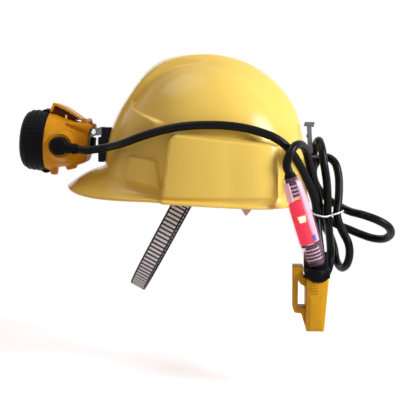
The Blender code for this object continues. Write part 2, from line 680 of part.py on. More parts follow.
def tilt_hinge():
    pin_x, _, pin_z = TILT_PIN
    pin = [(-16.2, 2.4), (-15.6, 3.2), (-14.0, 3.2), (-14.0, 1.75), (14.6, 1.75), (15.2, 1.3)]
    make("tilt_pin", turned(pin, "y", TILT_PIN, 20), "chrome")
    turns, radius, wire = 5, 3.3, 1.0
    count = turns * 8 + 1
    angle = np.linspace(0, turns * 2 * pi, count)
    length = turns * 2.4
    points = np.column_stack([pin_x + radius * np.cos(angle), -length / 2 + angle / angle[-1] * length,
                              pin_z + radius * np.sin(angle)])
    tube("tilt_spring", points, wire, "steel", 1)
    print(f"tilt spring: least gap to itself {least_self_gap(points, wire, 5):.2f} mm")


def cord_clip():
    """Steel strip riveted to the rear of the cap: a lip at the top, a hook for the cable below."""
    thick, back = 3.4, 1.0
    wall = [(wall_x(1, CLIP_Y, z) + back + thick / 2, z) for z in (84, 74, 65, 57)]
    (top_x, top_z), (low_x, low_z) = wall[0], wall[-1]
    course = [(top_x + 11.5, top_z + 0.5), (top_x + 13.5, top_z + 3.0), (top_x + 12.5, top_z + 5.6),
              (top_x + 8.0, top_z + 5.2), (top_x + 1.0, top_z + 3.0)] + wall
    course += [(low_x + 3, low_z - 3.6), (low_x + 9, low_z - 4.4), (low_x + 15, low_z - 3.0),
               (low_x + 19, low_z + 1.6)]
    course = smooth_curve(course, 26)
    tangent = np.gradient(course, axis=0)
    normal = np.column_stack([-tangent[:, 1], tangent[:, 0]])
    normal *= thick / 2 / np.linalg.norm(normal, axis=1, keepdims=True)
    outline = [tuple(p) for p in course + normal] + [tuple(p) for p in (course - normal)[::-1]]
    make("cord_clip", side_view(outline, (CLIP_Y - 4, CLIP_Y + 4)), "steel")
    rivet = [(thick / 2 + 0.55, 2.4), (thick / 2 + 1.2, 2.0), (thick / 2 + 1.7, 0.9)]
    for k, (x, z) in enumerate(wall[1:3]):
        make(f"clip_rivet_{k + 1}", turned(rivet, "x", (x, CLIP_Y, z), 14), "steel")


# ---------------------------------------------------------------- headpiece


def rounded_ring(x, half_y, half_z, centre_z, power, sides=28):
    turn = np.arange(sides) * 2 * pi / sides
    c, s = np.cos(turn), np.sin(turn)
    return np.column_stack([np.full(sides, x), half_y * np.sign(c) * np.abs(c) ** (2 / power),
                            centre_z + half_z * np.sign(s) * np.abs(s) ** (2 / power)])


# Rings of the housing: x, half width, half height, height of the middle, squareness.
HOUSING_RINGS = [(-53.1, 33, 33, LAMP_Z, 2), (-47.4, 32.6, 32.6, LAMP_Z, 2), (-41.4, 30.2, 30.4, -14.8, 2.1),
                 (-35.4, 27.5, 28.5, -15.0, 2.3), (-26.4, 25.5, 27, -15.2, 2.5), (-15, 23.5, 24, -14.8, 2.8),
                 (-8, 22, 21.5, -13.6, 3), (HOUSING_REAR, 20, 19.5, -13.4, 3)]


def lamp_housing(headpiece):
    """The yellow cup behind the bezel, with its bosses, lugs and cover hinge ears."""
    collar = [rounded_ring(x, COLLAR_R, COLLAR_R, LAMP_Z, 2) for x in (COLLAR_X, -53.2)]
    body = stack(collar + [rounded_ring(*ring) for ring in HOUSING_RINGS])
    ob = make("lamp_housing", body, "lamp_yellow", headpiece)
    swivel = (GLAND_X, 0, GLAND_Z)
    combine(ob, several(turned([(-33.5, 12.8), (-32.5, 13.8), (-12, 13.8)], "y", swivel, 18),
                        turned([(12, 13), (31.5, 13), (32.5, 12)], "y", swivel, 18)), "UNION")
    ear = [(-16, 3), (-14.6, COVER_PIN_Z + 2), (-12.5, COVER_PIN_Z + 3.4), (-9.0, COVER_PIN_Z + 3.0),
           (-7.4, COVER_PIN_Z), (-7.4, 2)]
    combine(ob, several(side_view([(-50, -40), (-47.5, -53), (-40.5, -53), (-40, -40)], (-5, 5)),
                        side_view([(-31, -34), (-30, -45), (-20, -43.5), (-18, -34)], (-7, 7)),
                        side_view(ear, (-17.5, -14.6)), side_view(ear, (14.6, 17.5))), "UNION")
    wall = 2.4
    cavity = [rounded_ring(x, BORE_R, BORE_R, LAMP_Z, 2) for x in (COLLAR_X - 4, -48.5, -44)]
    cavity += [rounded_ring(x, y - wall, z - wall, c, p) for x, y, z, c, p in HOUSING_RINGS[2:7]]
    combine(ob, stack(cavity))
    bores = [turned([(-45, GLAND_R + GAP), (-14, GLAND_R + GAP)], "y", swivel, 18),
             turned([(14, SWITCH_BORE_R), (40, SWITCH_BORE_R)], "y", swivel, 18),
             turned([(-20, PIN_BORE_R), (20, PIN_BORE_R)], "y", (COVER_PIN_X, 0, COVER_PIN_Z), 12)]
    for y in CONTACT_Y:
        bores.append(turned([(6, CONTACT_R + GAP), (40, CONTACT_R + GAP)], "z", (-34, y, 0), 12))
    combine(ob, several(*bores))


def bezel(headpiece):
    """The rubber ring that holds the lens, with a screwed tongue above and one below."""
    outside = [(BEZEL_REAR, BEZEL_R - 0.3), (-55, BEZEL_R), (-66, BEZEL_R), (-71, BEZEL_R - 0.3),
               (-76, 32.6), (-79.8, 29.4), (-81.8, 26), (BEZEL_FRONT, 23.4), (-81.6, APERTURE_R),
               (SEAT_X, APERTURE_R)]
    inside = [(SEAT_X, LENS_R + 0.4), (-71.9, LENS_R + 0.4), (-71.9, COLLAR_R + 0.4),
              (BEZEL_REAR, COLLAR_R + 0.4)]
    ring = turned(outside + inside, "x", (0, 0, LAMP_Z), 32, loop=True)
    ob = make("bezel_ring", ring, "black_rubber", headpiece)
    upper = [(-64, 33), (-59.5, 36), (-54.0, 36), (-54.0, 33), (-55.5, 32)]
    lower = [(-61, -33), (-55, -32), (-53.2, -33.35), (-51.0, -33.45), (-51.0, -36.2), (-55, -36.4)]
    combine(ob, several(*(side_view([(x, LAMP_Z + z) for x, z in tongue], (-7, 7))
                          for tongue in (upper, lower))), "UNION")


def lamp_front(headpiece):
    """Lens, gasket, reflector and light engine, from the front backwards."""
    dome = [(-81.7, 4), (-81.3, 9), (-80.3, 15), (SEAT_X - 0.1, 20.6), (SEAT_X + 0.4, 21.5),
            (SEAT_X + 0.4, LENS_R), (SEAT_X + 3, LENS_R)]
    make("lens", turned(dome, "x", (0, 0, LAMP_Z), 28), "clear_plastic", headpiece)
    gasket = [(-75.7, 24), (-75.7, LENS_R), (-74.1, LENS_R), (-74.1, 24)]
    make("lens_gasket", turned(gasket, "x", (0, 0, LAMP_Z), 24, loop=True), "black_rubber", headpiece)
    mouth_x, mouth_r, base_r, base_x, wall = -73.7, 23.6, 5, -54.5, 1.2
    radii = np.linspace(mouth_r, base_r, 6)
    curve = (mouth_r ** 2 - base_r ** 2) / (base_x - mouth_x)
    bowl = [(base_x - (r * r - base_r ** 2) / curve, r) for r in radii]
    back = [(x + wall, r + wall * 0.6) for x, r in bowl[::-1][:-1]]
    flange = [(-68.85, 24.8), (-68.85, COLLAR_R), (-70.5, COLLAR_R), (-70.5, 25.6), (mouth_x, 25.6)]
    make("reflector", turned(bowl + back + flange, "x", (0, 0, LAMP_Z), 20, loop=True), "chrome", headpiece)
    make("led_board", turned([(-52.8, 10), (-51.3, 10)], "x", (0, 0, LAMP_Z), 24), "aluminium", headpiece)
    make("led_emitter", turned([(-53.2, 3.2), (-54.2, 3.0), (-55.4, 1.6)], "x", (0, 0, LAMP_Z), 20),
         "led_white", headpiece)
    fins = [(-50.9, 16)]
    for k in range(3):
        x = -47.9 + k * 3
        fins += [(x, 16), (x + 0.4, 12), (x + 1.3, 12), (x + 1.7, 16)]
    make("heat_sink", turned(fins, "x", (0, 0, LAMP_Z), 16), "aluminium", headpiece)
    make("driver_board", block((-38, -15, LAMP_Z - 15), (-36.4, 15, LAMP_Z + 13)), "board_green", headpiece)


def cord_gland(headpiece):
    """The cable's swivel boss on the near side and its strain relief, turned rearwards.

    Returns the relief's tip and the way it points, in the cap's frame.
    """
    boss = turned([(-20, GLAND_R), (-44, GLAND_R), (-46.5, GLAND_R - 2.5)], "y", (GLAND_X, 0, GLAND_Z), 20)
    ob = make("cord_gland", boss, "black_rubber", headpiece)
    start, stop = np.array([GLAND_X, -40.4, GLAND_Z - 1]), np.array([-11, -43.5, GLAND_Z - 1.6])
    along = stop - start
    across = np.cross(along, (0, 0, 1))
    across /= np.linalg.norm(across)
    up = np.cross(across, along)
    up /= np.linalg.norm(up)
    turn = np.arange(14) * 2 * pi / 14
    rings = []
    circle = np.cos(turn)[:, None] * across + np.sin(turn)[:, None] * up
    for share, radius in ((0, 6.4), (0.55, 6.4), (0.6, 5.7), (0.7, 5.7), (0.74, 6.1), (0.84, 6.1),
                          (0.88, 5.4), (1, 5.2)):
        rings.append(start + along * share + radius * circle)
    combine(ob, stack(rings), "UNION")
    turn_out = np.array(headpiece.matrix_world.to_3x3())
    return turn_out @ stop + np.array(TILT_PIN), turn_out @ along / np.linalg.norm(along)


def contact_cover(headpiece):
    """Hinged hood over the charging contacts on top of the lamp."""
    top = smooth_curve([(-48.8, 29.2), (-39.5, 26.9), (-27, 21), (-15.5, 14.2)], 8)
    outline = [tuple(p) for p in top] + [(-13.2, COVER_PIN_Z - 1.2)]
    outline += [(x + 0.6, z - 3.0) for x, z in top[1:-1][::-1]]
    outline += [(-47.4, 26.0), (-50.0, 18.9), (-52.2, 19.3)]
    ob = make("contact_cover", side_view(outline, (-13.5, 13.5)), "lamp_yellow", headpiece)
    pin = (COVER_PIN_X, 0, COVER_PIN_Z)
    combine(ob, turned([(-13.9, 2.9), (13.9, 2.9)], "y", pin, 20), "UNION")
    combine(ob, turned([(-20, PIN_BORE_R), (20, PIN_BORE_R)], "y", pin, 16))
    make("cover_hinge_pin", turned([(-17.9, 1.2), (17.9, 1.2)], "y", pin, 16), "steel", headpiece)
    stud = [(8.5, CONTACT_R), (16.6, CONTACT_R), (17.4, 1.5)]
    for k, y in enumerate(CONTACT_Y):
        make(f"charge_contact_{k + 1}", turned(stud, "z", (-34, y, 0), 16), "brass", headpiece)


def headpiece_rear(headpiece):
    """Switch on the far side, hinge plate on the rear, screws of the bezel's tongues."""
    switch = (GLAND_X, 0, GLAND_Z)
    collar = [(32.85, SWITCH_BORE_R), (32.85, 11.6), (35.6, 11.6), (36.4, 10.8), (36.4, SWITCH_BORE_R)]
    make("switch_collar", turned(collar, "y", switch, 20, loop=True), "black_plastic", headpiece)
    button = [(24, 7.7), (37.4, 7.7), (38.7, 6.6), (39.4, 3.4)]
    make("switch_button", turned(button, "y", switch, 20), "black_rubber", headpiece)
    plate = block((HOUSING_REAR + GAP, -11.2, -16), (HOUSING_REAR + 1.7, 11.2, 3.6))
    ob = make("hinge_plate", plate, "steel", headpiece)
    for side in (-1, 1):
        arc = [(4 * cos(a), 4 * sin(a)) for a in np.linspace(radians(-100), radians(100), 12)]
        ear = [(HOUSING_REAR + 0.6, -5)] + arc + [(HOUSING_REAR + 0.6, 3.6)]
        combine(ob, side_view(ear, sorted((side * 9.7, side * 11.2))), "UNION")
    combine(ob, turned([(-20, 2.1), (20, 2.1)], "y", (0, 0, 0), 20))
    screw = [(HOUSING_REAR + 1.75, 2.2), (HOUSING_REAR + 2.6, 2.0), (HOUSING_REAR + 3.0, 1.0)]
    for k, z in enumerate((-7.5, -13)):
        make(f"hinge_screw_{k + 1}", turned(screw, "x", (0, 0, z), 16), "steel", headpiece)
    make("bezel_screw", turned([(LAMP_Z + 36.35, 2.4), (LAMP_Z + 37.5, 2.2)], "z", (-56.8, 0, 0), 14),
         "steel", headpiece)


# ---------------------------------------------------------------- warning light and battery


def tail_light():
    """The warning light in the cable; returns where the cable enters at its top, and its axis."""
    top, bottom = np.array(TAIL_TOP, float), np.array(TAIL_BOTTOM, float)
    axis = Vector(top - bottom).normalized()
    tail = frame("tail_frame", (top + bottom) / 2, Vector((0, 0, 1)).rotation_difference(axis).to_euler())
    half = float(np.linalg.norm(top - bottom)) / 2
    wall = 1.6
    outside = [(-half, 9.0), (-42, 10.8), (-32, 12.0), (-8, 12.4), (14, 12.1), (28, 11.2), (38, 9.6),
               (half, 8.5)]
    inside = [(z, r - wall) for z, r in outside[::-1]]
    make("tail_tube", turned(outside + inside, "z", (0, 0, 0), 20, loop=True), "clear_plastic", tail)
    ribs = [(half + 4, 5.2), (half + 1, 6.3)]
    for k in range(5):
        z = half - 1.5 - k * 4
        ribs += [(z, 6.3), (z - 0.6, 5.3), (z - 2.6, 5.3), (z - 3.2, 6.3)]
    make("tail_gland_top", turned(ribs[:-1], "z", (0, 0, 0), 12), "black_rubber", tail)
    core = [(-24, 6), (-23, 9.6), (-6, 9.9), (14, 9.7), (22, 8.6), (22.8, 6)]
    make("tail_lamp_core", turned(core, "z", (0, 0, 0), 24), "red_plastic", tail)
    seal = [(-27, 7), (-27, 9.6), (-24.8, 9.8), (-24.8, 7)]
    make("tail_seal_ring", turned(seal, "z", (0, 0, 0), 24, loop=True), "black_rubber", tail)
    plug = [(-27.6, 5.5), (-34, 8), (-40, 8.2), (-43, 6.6), (-half - 2, 6.6)]
    make("tail_gland_bottom", turned(plug, "z", (0, 0, 0), 20), "black_rubber", tail)
    return top + np.array(axis) * 4, np.array(axis)


def battery():
    """Case, cap with the cable's boss, cell, board and belt loop."""
    (x0, x1), (y0, y1), (z0, z1) = CASE_X, CASE_Y, CASE_Z
    low = [(x0, y0), (x1 - CASE_TAPER, y0), (x1 - CASE_TAPER, y1), (x0, y1)]
    high = [(x0, y0), (x1, y0), (x1, y1), (x0, y1)]
    case = stack([[(x, y, z0) for x, y in low], [(x, y, z1) for x, y in high]])
    ob = make("battery_case", case, "lamp_yellow", bevel=1.6)
    inner_x = x1 - CASE_TAPER
    combine(ob, block((x0 + CASE_WALL, y0 + CASE_WALL, z0 + CASE_WALL),
                      (inner_x - CASE_WALL, y1 - CASE_WALL, z1 + 9)))
    rim = 1.0
    top = z1 + 8.65
    ear_top = z1 + 22.65
    outline = [(y0 - rim, z1 + GAP), (y1 + rim, z1 + GAP), (y1 + rim, ear_top - 5.5), (y1 - 1.5, ear_top),
               (-80, ear_top), (-85.5, top), (y0 + 1.5, top), (y0 - rim, top - 2.5)]
    ob = make("battery_cap", extruded(outline, (x0 - rim, x1 + rim), "x"), "black_rubber", bevel=1.2)
    bx, by = TAIL_BOTTOM[0] + 1, TAIL_BOTTOM[1] - 4
    boss = [(z1 + GAP + 0.5, 11.8), (z1 + 7.65, 11.4), (z1 + 9.05, 10.4)]
    combine(ob, turned(boss, "z", (bx, by, 0), 24), "UNION")
    lip = side_view([(bx - 11, z1 + 3), (bx - 8.5, z1 - 1.6), (bx - 4, z1 - 3.6), (bx + 4, z1 - 3.6),
                     (bx + 8.5, z1 - 1.6), (bx + 11, z1 + 3)], (by - 10.4, y0 - GAP))
    combine(ob, lip, "UNION")
    cell = round_block((x0 + 3.4, y0 + 4, z0 + 4), (inner_x - 3.4, y1 - 4, z1 - 9), 3, 2)
    make("battery_cell", cell, "cell_silver")
    board = block((x0 + 4, y0 + 5, z1 - 7.6), (inner_x - 4, y1 - 5, z1 - 6))
    make("protection_board", board, "board_green")
    profile = [(96.5, -61), (107.4, -61), (107.4, -72), (x0 - GAP, -72), (x0 - GAP, -82), (104.5, -79),
               (102, -75), (102, -104.5), (x0 - GAP, -104.5), (x0 - GAP, -124), (105.5, -110.5),
               (98.5, -109.5), (96.5, -104)]
    make("belt_loop", side_view(profile, (-100, -76)), "lamp_yellow", bevel=0.6)


# ---------------------------------------------------------------- cable

# Places along the middle of the cable, in order, read off the picture: first along the cap's
# near side, then down and up through the hanging loops to the top of the warning light.
SIDE_RUN = [(-120, -47, 59.5), (-103, -56, 62.5), (-84, -76, 67.5), (-61, -88.5, 75.5),
            (-38, -95.2, 82), (-17, -98.5, 85.6), (4, -99.3, 86.8), (25, -98.3, 86.3),
            (46, -94.8, 83.6), (62, -92.6, 79.3), (76, -91, 74)]
HANK = [(87.5, -88, 66), (96, -81, 56), (104.5, -71, 43), (115, -57, 22), (122, -48.5, 3),
        (124, -45, -13), (126, -52, -35), (128.5, -59, -55), (131, -54.5, -70.5), (135.5, -40, -77.5),
        (140, -25.5, -70.5), (141.5, -20.5, -55), (139, -30.5, -33), (136, -42, -13), (136, -42, 6),
        (134.5, -40.5, 27), (131.5, -40, 45), (129.5, -34.5, 60), (127, -17.5, 69), (124, -0.5, 61),
        (122, 4.5, 45), (123, 2, 26), (126, -3, 9), (130, -6.5, -6), (137.5, -8, -18),
        (148.5, -8, -26), (162, -8, -31.5), (176, -11, -37), (189, -18, -40.5), (199.5, -29, -39.5),
        (205, -42.5, -32.5), (200.5, -54.5, -23), (188, -59, -15.5), (174, -51, -11),
        (161.5, -33, -9), (151, -13, -5), (139.5, 3.5, 1.5), (130.5, 13, 11), (125, 18, 22),
        (123.5, 19, 34), (128, 13.5, 44.5), (137.5, 1.5, 49.5), (146, -10.5, 43.5), (149.5, -15.5, 31),
        (150, -20.5, 18), (149, -27.5, 4), (147, -36, -13), (151.5, -42.5, -28), (158.5, -46, -42),
        (160.5, -43.5, -54), (158.5, -36.8, -67), (153.7, -22.5, -73.6), (149, -8.3, -67.6),
        (146.5, -1.5, -53), (141, -6, -38), (133.5, -19, -26), (128.5, -30, -13), (126.5, -34.5, 3),
        (121.5, -42, 22), (116.5, -51, 39), (113, -60.5, 52), (109, -73, 62), (103.5, -86.5, 66.5),
        (97.5, -98, 65), (92.2, -104, 57.5)]
WAIST_Z = -13                   # height of the tie; the four strands it holds cross there
HANK_POINTS = 104               # about 24 a loop


def cable(tip, aim, tail_tip, tail_axis):
    """One cable: along the cap's side, through its loops behind, down into the warning light.

    It is straight for a stretch at both ends and where its two pieces meet.
    """
    stretch = CORD_D
    course = smooth_curve([tip + aim * GAP, tip + aim * stretch] + SIDE_RUN + HANK
                          + [tail_tip + tail_axis * (GAP + CORD_D), tail_tip + tail_axis * GAP], 2001)
    split = int(np.argmin(np.linalg.norm(course - np.array(HANK[0]), axis=1)))
    near = int(stretch / curve_length(course) * 2000)
    onward = course[split + near] - course[split - near]
    onward /= np.linalg.norm(onward)
    meeting = (course[split + near] + course[split - near]) / 2
    side = np.vstack([course[0], smooth_curve(course[near:split - near], 30), meeting - onward * GAP / 2])
    loops = smooth_curve(course[split + near:-near], HANK_POINTS)
    hank = np.vstack([meeting + onward * GAP / 2, loops, course[-1]])
    tube("cord_side_run", side, CORD_D, "cord_black", 2)
    tube("cord_hank", hank, CORD_D, "cord_black", 1)
    print(f"cable: {curve_length(course):.0f} mm long; "
          f"hank's least gap to itself {least_self_gap(hank, CORD_D, 30):.2f} mm")


def hank_tie():
    """A wire tie round the strands at the hank's waist, pulled out to their outline."""
    strands = [np.array(p[:2], float) for p in HANK if p[2] == WAIST_Z]
    centre = np.mean(strands, axis=0)
    wire = 1.8
    points = []
    for a in np.linspace(0, 2 * pi, 28, endpoint=False):
        out = np.array([cos(a), sin(a)])
        reach = max(float((s - centre) @ out) for s in strands) + CORD_D / 2 + wire + 0.9
        points.append((*(centre + out * reach), WAIST_Z))
    tube("hank_tie", points, wire, "tie_white", 1, cyclic=True)


clear_scene()
INNER, SHELL_TREE = cap_shell()
suspension()
lamp_bracket()
lamp_hook()
tilt_hinge()
cord_clip()
HEADPIECE = frame("headpiece_frame", TILT_PIN, (0, radians(REST_TILT_DEG), 0))
bpy.context.view_layer.update()
lamp_housing(HEADPIECE)
bezel(HEADPIECE)
lamp_front(HEADPIECE)
GLAND_TIP, GLAND_AIM = cord_gland(HEADPIECE)
contact_cover(HEADPIECE)
headpiece_rear(HEADPIECE)
TAIL_TIP, TAIL_AXIS = tail_light()
battery()
cable(GLAND_TIP, GLAND_AIM, TAIL_TIP, TAIL_AXIS)
hank_tie()
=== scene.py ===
# %% [markdown]
# # A miner's cap with its cap lamp
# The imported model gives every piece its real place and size, in metres, with +Z up and the peak
# towards -X. This lesson dresses it: fine surfaces over the plain solids, and a finish for each.

# %% Load the frame
import json
from math import cos, pi, radians, sin

import bmesh
import bpy
import numpy as np
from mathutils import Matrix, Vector


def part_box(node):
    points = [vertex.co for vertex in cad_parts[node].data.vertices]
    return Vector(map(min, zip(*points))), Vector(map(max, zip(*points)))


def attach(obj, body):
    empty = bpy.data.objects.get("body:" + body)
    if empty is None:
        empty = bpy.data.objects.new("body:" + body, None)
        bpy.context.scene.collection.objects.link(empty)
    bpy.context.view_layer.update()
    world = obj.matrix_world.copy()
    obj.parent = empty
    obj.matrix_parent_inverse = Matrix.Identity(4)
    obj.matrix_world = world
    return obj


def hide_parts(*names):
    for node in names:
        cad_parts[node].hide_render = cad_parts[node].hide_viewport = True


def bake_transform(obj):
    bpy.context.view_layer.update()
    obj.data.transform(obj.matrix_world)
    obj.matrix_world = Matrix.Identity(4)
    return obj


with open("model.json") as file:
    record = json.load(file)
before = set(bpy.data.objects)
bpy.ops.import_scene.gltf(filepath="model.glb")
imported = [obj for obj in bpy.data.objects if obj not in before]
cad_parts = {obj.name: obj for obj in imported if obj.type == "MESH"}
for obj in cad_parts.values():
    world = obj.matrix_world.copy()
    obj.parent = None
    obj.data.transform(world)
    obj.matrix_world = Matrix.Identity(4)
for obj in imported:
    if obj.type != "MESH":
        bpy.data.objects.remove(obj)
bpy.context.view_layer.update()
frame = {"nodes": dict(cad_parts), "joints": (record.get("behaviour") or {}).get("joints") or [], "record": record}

MM = 0.001                      # shapes are worked out in millimetres
CORD_D = 9.0                    # the cable

# %% [markdown]
# ## Camera, lamps and floor
# The picture is taken almost square to the cap's near side, from 1.1 m and a little above it.
# A longer lens keeps the headpiece and the battery from looking stretched. A turned-up white
# world would bleach the yellow, so it is white only for the camera, glass and gloss, and lights
# the object with a weak warm fill. Three broad lamps do the rest: the key stands beside the rear,
# which leaves the front golden as in the picture, one hangs over the crown, and a faint one
# reaches the far side.

# %% Camera
CAMERA_TARGET = Vector((-0.0069, -0.0004, 0))
CAMERA_DISTANCE, CAMERA_AZIMUTH, CAMERA_ELEVATION = 1.10, radians(3.5), radians(5)
LENS_MM = 86.1


def make_camera():
    level = cos(CAMERA_ELEVATION)
    back = Vector((sin(CAMERA_AZIMUTH) * level, -cos(CAMERA_AZIMUTH) * level, sin(CAMERA_ELEVATION)))
    camera = bpy.data.objects.new("camera", bpy.data.cameras.new("camera"))
    camera.data.lens = LENS_MM
    camera.location = CAMERA_TARGET + back * CAMERA_DISTANCE
    camera.rotation_euler = back.to_track_quat("Z", "Y").to_euler()
    bpy.context.scene.collection.objects.link(camera)
    bpy.context.scene.camera = camera


make_camera()
bpy.context.scene.view_settings.view_transform = "Standard"

# %% Node helpers


def feed(tree, socket, value):
    """Give a socket a number, a colour or another node's output."""
    if isinstance(value, bpy.types.NodeSocket):
        tree.links.new(value, socket)
    else:
        socket.default_value = value


def feed_named(tree, node, inputs):
    """Feed a node's inputs by their names, with _ for a space."""
    for name, value in inputs.items():
        feed(tree, node.inputs[name.replace("_", " ")], value)


def add(tree, kind, settings=(), numbered=(), **inputs):
    """A node with settings; its inputs are fed by number, by name, or both."""
    node = tree.nodes.new(kind)
    for name, value in dict(settings).items():
        setattr(node, name, value)
    for number, value in dict(numbered).items():
        feed(tree, node.inputs[number], value)
    feed_named(tree, node, inputs)
    return node


def new_material(name):
    """A material that uses nodes, and its node tree."""
    mat = bpy.data.materials.new(name)
    mat.use_nodes = True
    return mat, mat.node_tree


def arithmetic(tree, operation, a, b=0.0):
    """One sum of a Math node, and its result."""
    return add(tree, "ShaderNodeMath", {"operation": operation}, {0: a, 1: b}).outputs[0]


def mixed(tree, share, low, high):
    """Two colours mixed by share: low at 0 and high at 1."""
    return add(tree, "ShaderNodeMix", {"data_type": "RGBA"}, {0: share, 6: low, 7: high}).outputs[2]


def soft_range(tree, value, start, stop, first, last):
    """first up to start and last from stop on, with a smooth step between."""
    return add(tree, "ShaderNodeMapRange", {"interpolation_type": "SMOOTHSTEP"}, Value=value,
               From_Min=start, From_Max=stop, To_Min=first, To_Max=last).outputs[0]


def white_for_view_rays(tree):
    """1 for rays from the camera, off gloss and through glass, 0 for the light that falls."""
    rays = add(tree, "ShaderNodeLightPath").outputs
    seen = arithmetic(tree, "MAXIMUM", rays["Is Camera Ray"], rays["Is Glossy Ray"])
    return arithmetic(tree, "MAXIMUM", seen, rays["Is Transmission Ray"])


# %% World
FILL_STRENGTH = 0.26
FILL_COLOUR = (1.0, 0.64, 0.36, 1)  # the object's own yellow, bounced off the room


def make_world():
    world = bpy.data.worlds.new("studio")
    bpy.context.scene.world = world
    world.use_nodes = True
    tree = world.node_tree
    tree.nodes.clear()
    seen = add(tree, "ShaderNodeBackground", Color=(1, 1, 1, 1), Strength=1.0).outputs[0]
    fill = add(tree, "ShaderNodeBackground", Color=FILL_COLOUR, Strength=FILL_STRENGTH).outputs[0]
    mix = add(tree, "ShaderNodeMixShader", numbered={0: white_for_view_rays(tree), 1: fill, 2: seen})
    add(tree, "ShaderNodeOutputWorld", Surface=mix.outputs[0])


make_world()

# %% Lamps
# Name, place, size and power of each; every lamp looks at the middle of the cap.
LAMPS = [("key_lamp", (1.25, -0.56, 0.64), 0.6, 26.5),
         ("top_lamp", (-0.45, -0.15, 1.2), 0.8, 4.4),
         ("back_lamp", (-0.3, 1.1, 0.6), 0.9, 1.5)]
LAMP_COLOUR = (0.94, 1.0, 1.2)  # cool daylight, against the warm fill
LAMP_AIM = Vector((0.02, 0, 0.04))


def make_lamp(name, place, size, power):
    data = bpy.data.lights.new(name, "AREA")
    data.size = size
    data.energy = power
    data.color = LAMP_COLOUR
    lamp = bpy.data.objects.new(name, data)
    lamp.location = place
    lamp.rotation_euler = (Vector(place) - LAMP_AIM).to_track_quat("Z", "Y").to_euler()
    bpy.context.scene.collection.objects.link(lamp)


for row in LAMPS:
    make_lamp(*row)

# %% Floor
FLOOR_Z, FLOOR_HALF = -0.195, 12.0
FLOOR_GREY = (0.86, 0.86, 0.86, 1)
FLOOR_GLOW = 0.55               # what lifts the lit floor to white and leaves the shadow
FADE_START, FADE_END = 0.35, 1.1    # how far from the middle the floor turns to plain white


def make_floor():
    h = FLOOR_HALF
    corners = [(-h, -h, FLOOR_Z), (h, -h, FLOOR_Z), (h, h, FLOOR_Z), (-h, h, FLOOR_Z)]
    mesh = bpy.data.meshes.new("floor")
    mesh.from_pydata(corners, [], [(0, 1, 2, 3)])
    floor = bpy.data.objects.new("floor", mesh)
    bpy.context.scene.collection.objects.link(floor)
    mat, tree = new_material("floor")
    tree.nodes.clear()
    view_rays = white_for_view_rays(tree)
    paint = add(tree, "ShaderNodeBsdfDiffuse", Color=FLOOR_GREY).outputs[0]
    lift = arithmetic(tree, "MULTIPLY", view_rays, FLOOR_GLOW)
    glow = add(tree, "ShaderNodeEmission", Strength=lift).outputs[0]
    lit = add(tree, "ShaderNodeAddShader", numbered={0: paint, 1: glow}).outputs[0]
    place = add(tree, "ShaderNodeTexCoord").outputs["Object"]
    away = add(tree, "ShaderNodeVectorMath", {"operation": "LENGTH"}, Vector=place)
    fade = soft_range(tree, away.outputs["Value"], FADE_START, FADE_END, 0.0, 1.0)
    far = arithmetic(tree, "MULTIPLY", fade, view_rays)
    white = add(tree, "ShaderNodeEmission").outputs[0]
    mix = add(tree, "ShaderNodeMixShader", numbered={0: far, 1: lit, 2: white})
    add(tree, "ShaderNodeOutputMaterial", Surface=mix.outputs[0])
    mesh.materials.append(mat)


make_floor()

# %% [markdown]
# ## Finishes
# Almost everything here is moulded plastic, rubber or plated steel. No moulding is one flat
# colour: it clouds a little where the melt flowed, its gloss is uneven, and light breaks on a
# fine orange-peel. So one recipe makes them all: slow noise moves the colour and the roughness,
# and fine noise becomes a bump. Noise reads Object coordinates, in metres.

# %% The recipe for a moulding
finishes = {}


def moulding(name, colour, shade=0.8, roughness=0.35, uneven=0.1, metallic=0.0, grain=900.0,
             peel=0.05, cloud=22.0, stretch=(1, 1, 1), gloss=None, glow=None, **sockets):
    """A material whose colour drifts to shade times itself, and roughness by uneven.

    peel is the bump's strength, grain and cloud are the scales of the fine and the slow noise,
    gloss is the specular level, and glow is a light of its own, as (colour, strength).
    """
    mat, tree = new_material(name)
    whole_place = add(tree, "ShaderNodeTexCoord").outputs["Object"]
    place = add(tree, "ShaderNodeMapping", Vector=whole_place, Scale=stretch).outputs[0]
    clouds = add(tree, "ShaderNodeTexNoise", Vector=place, Scale=cloud, Detail=4.0).outputs[0]
    dark = tuple(c * shade for c in colour)
    tint = mixed(tree, clouds, (*colour, 1), (*dark, 1))
    rough = add(tree, "ShaderNodeMapRange", Value=clouds, From_Min=0.3, From_Max=0.7,
                To_Min=roughness - uneven / 2, To_Max=roughness + uneven / 2)
    fine = add(tree, "ShaderNodeTexNoise", Vector=place, Scale=grain, Detail=3.0).outputs[0]
    relief = add(tree, "ShaderNodeBump", Height=fine, Strength=peel, Distance=0.0005)
    sockets.update(Base_Color=tint, Roughness=rough.outputs[0], Normal=relief.outputs[0],
                   Metallic=metallic)
    if gloss is not None:
        sockets["Specular_IOR_Level"] = gloss
    if glow:
        sockets.update(Emission_Color=(*glow[0], 1), Emission_Strength=glow[1])
    feed_named(tree, tree.nodes["Principled BSDF"], sockets)
    finishes[name] = mat


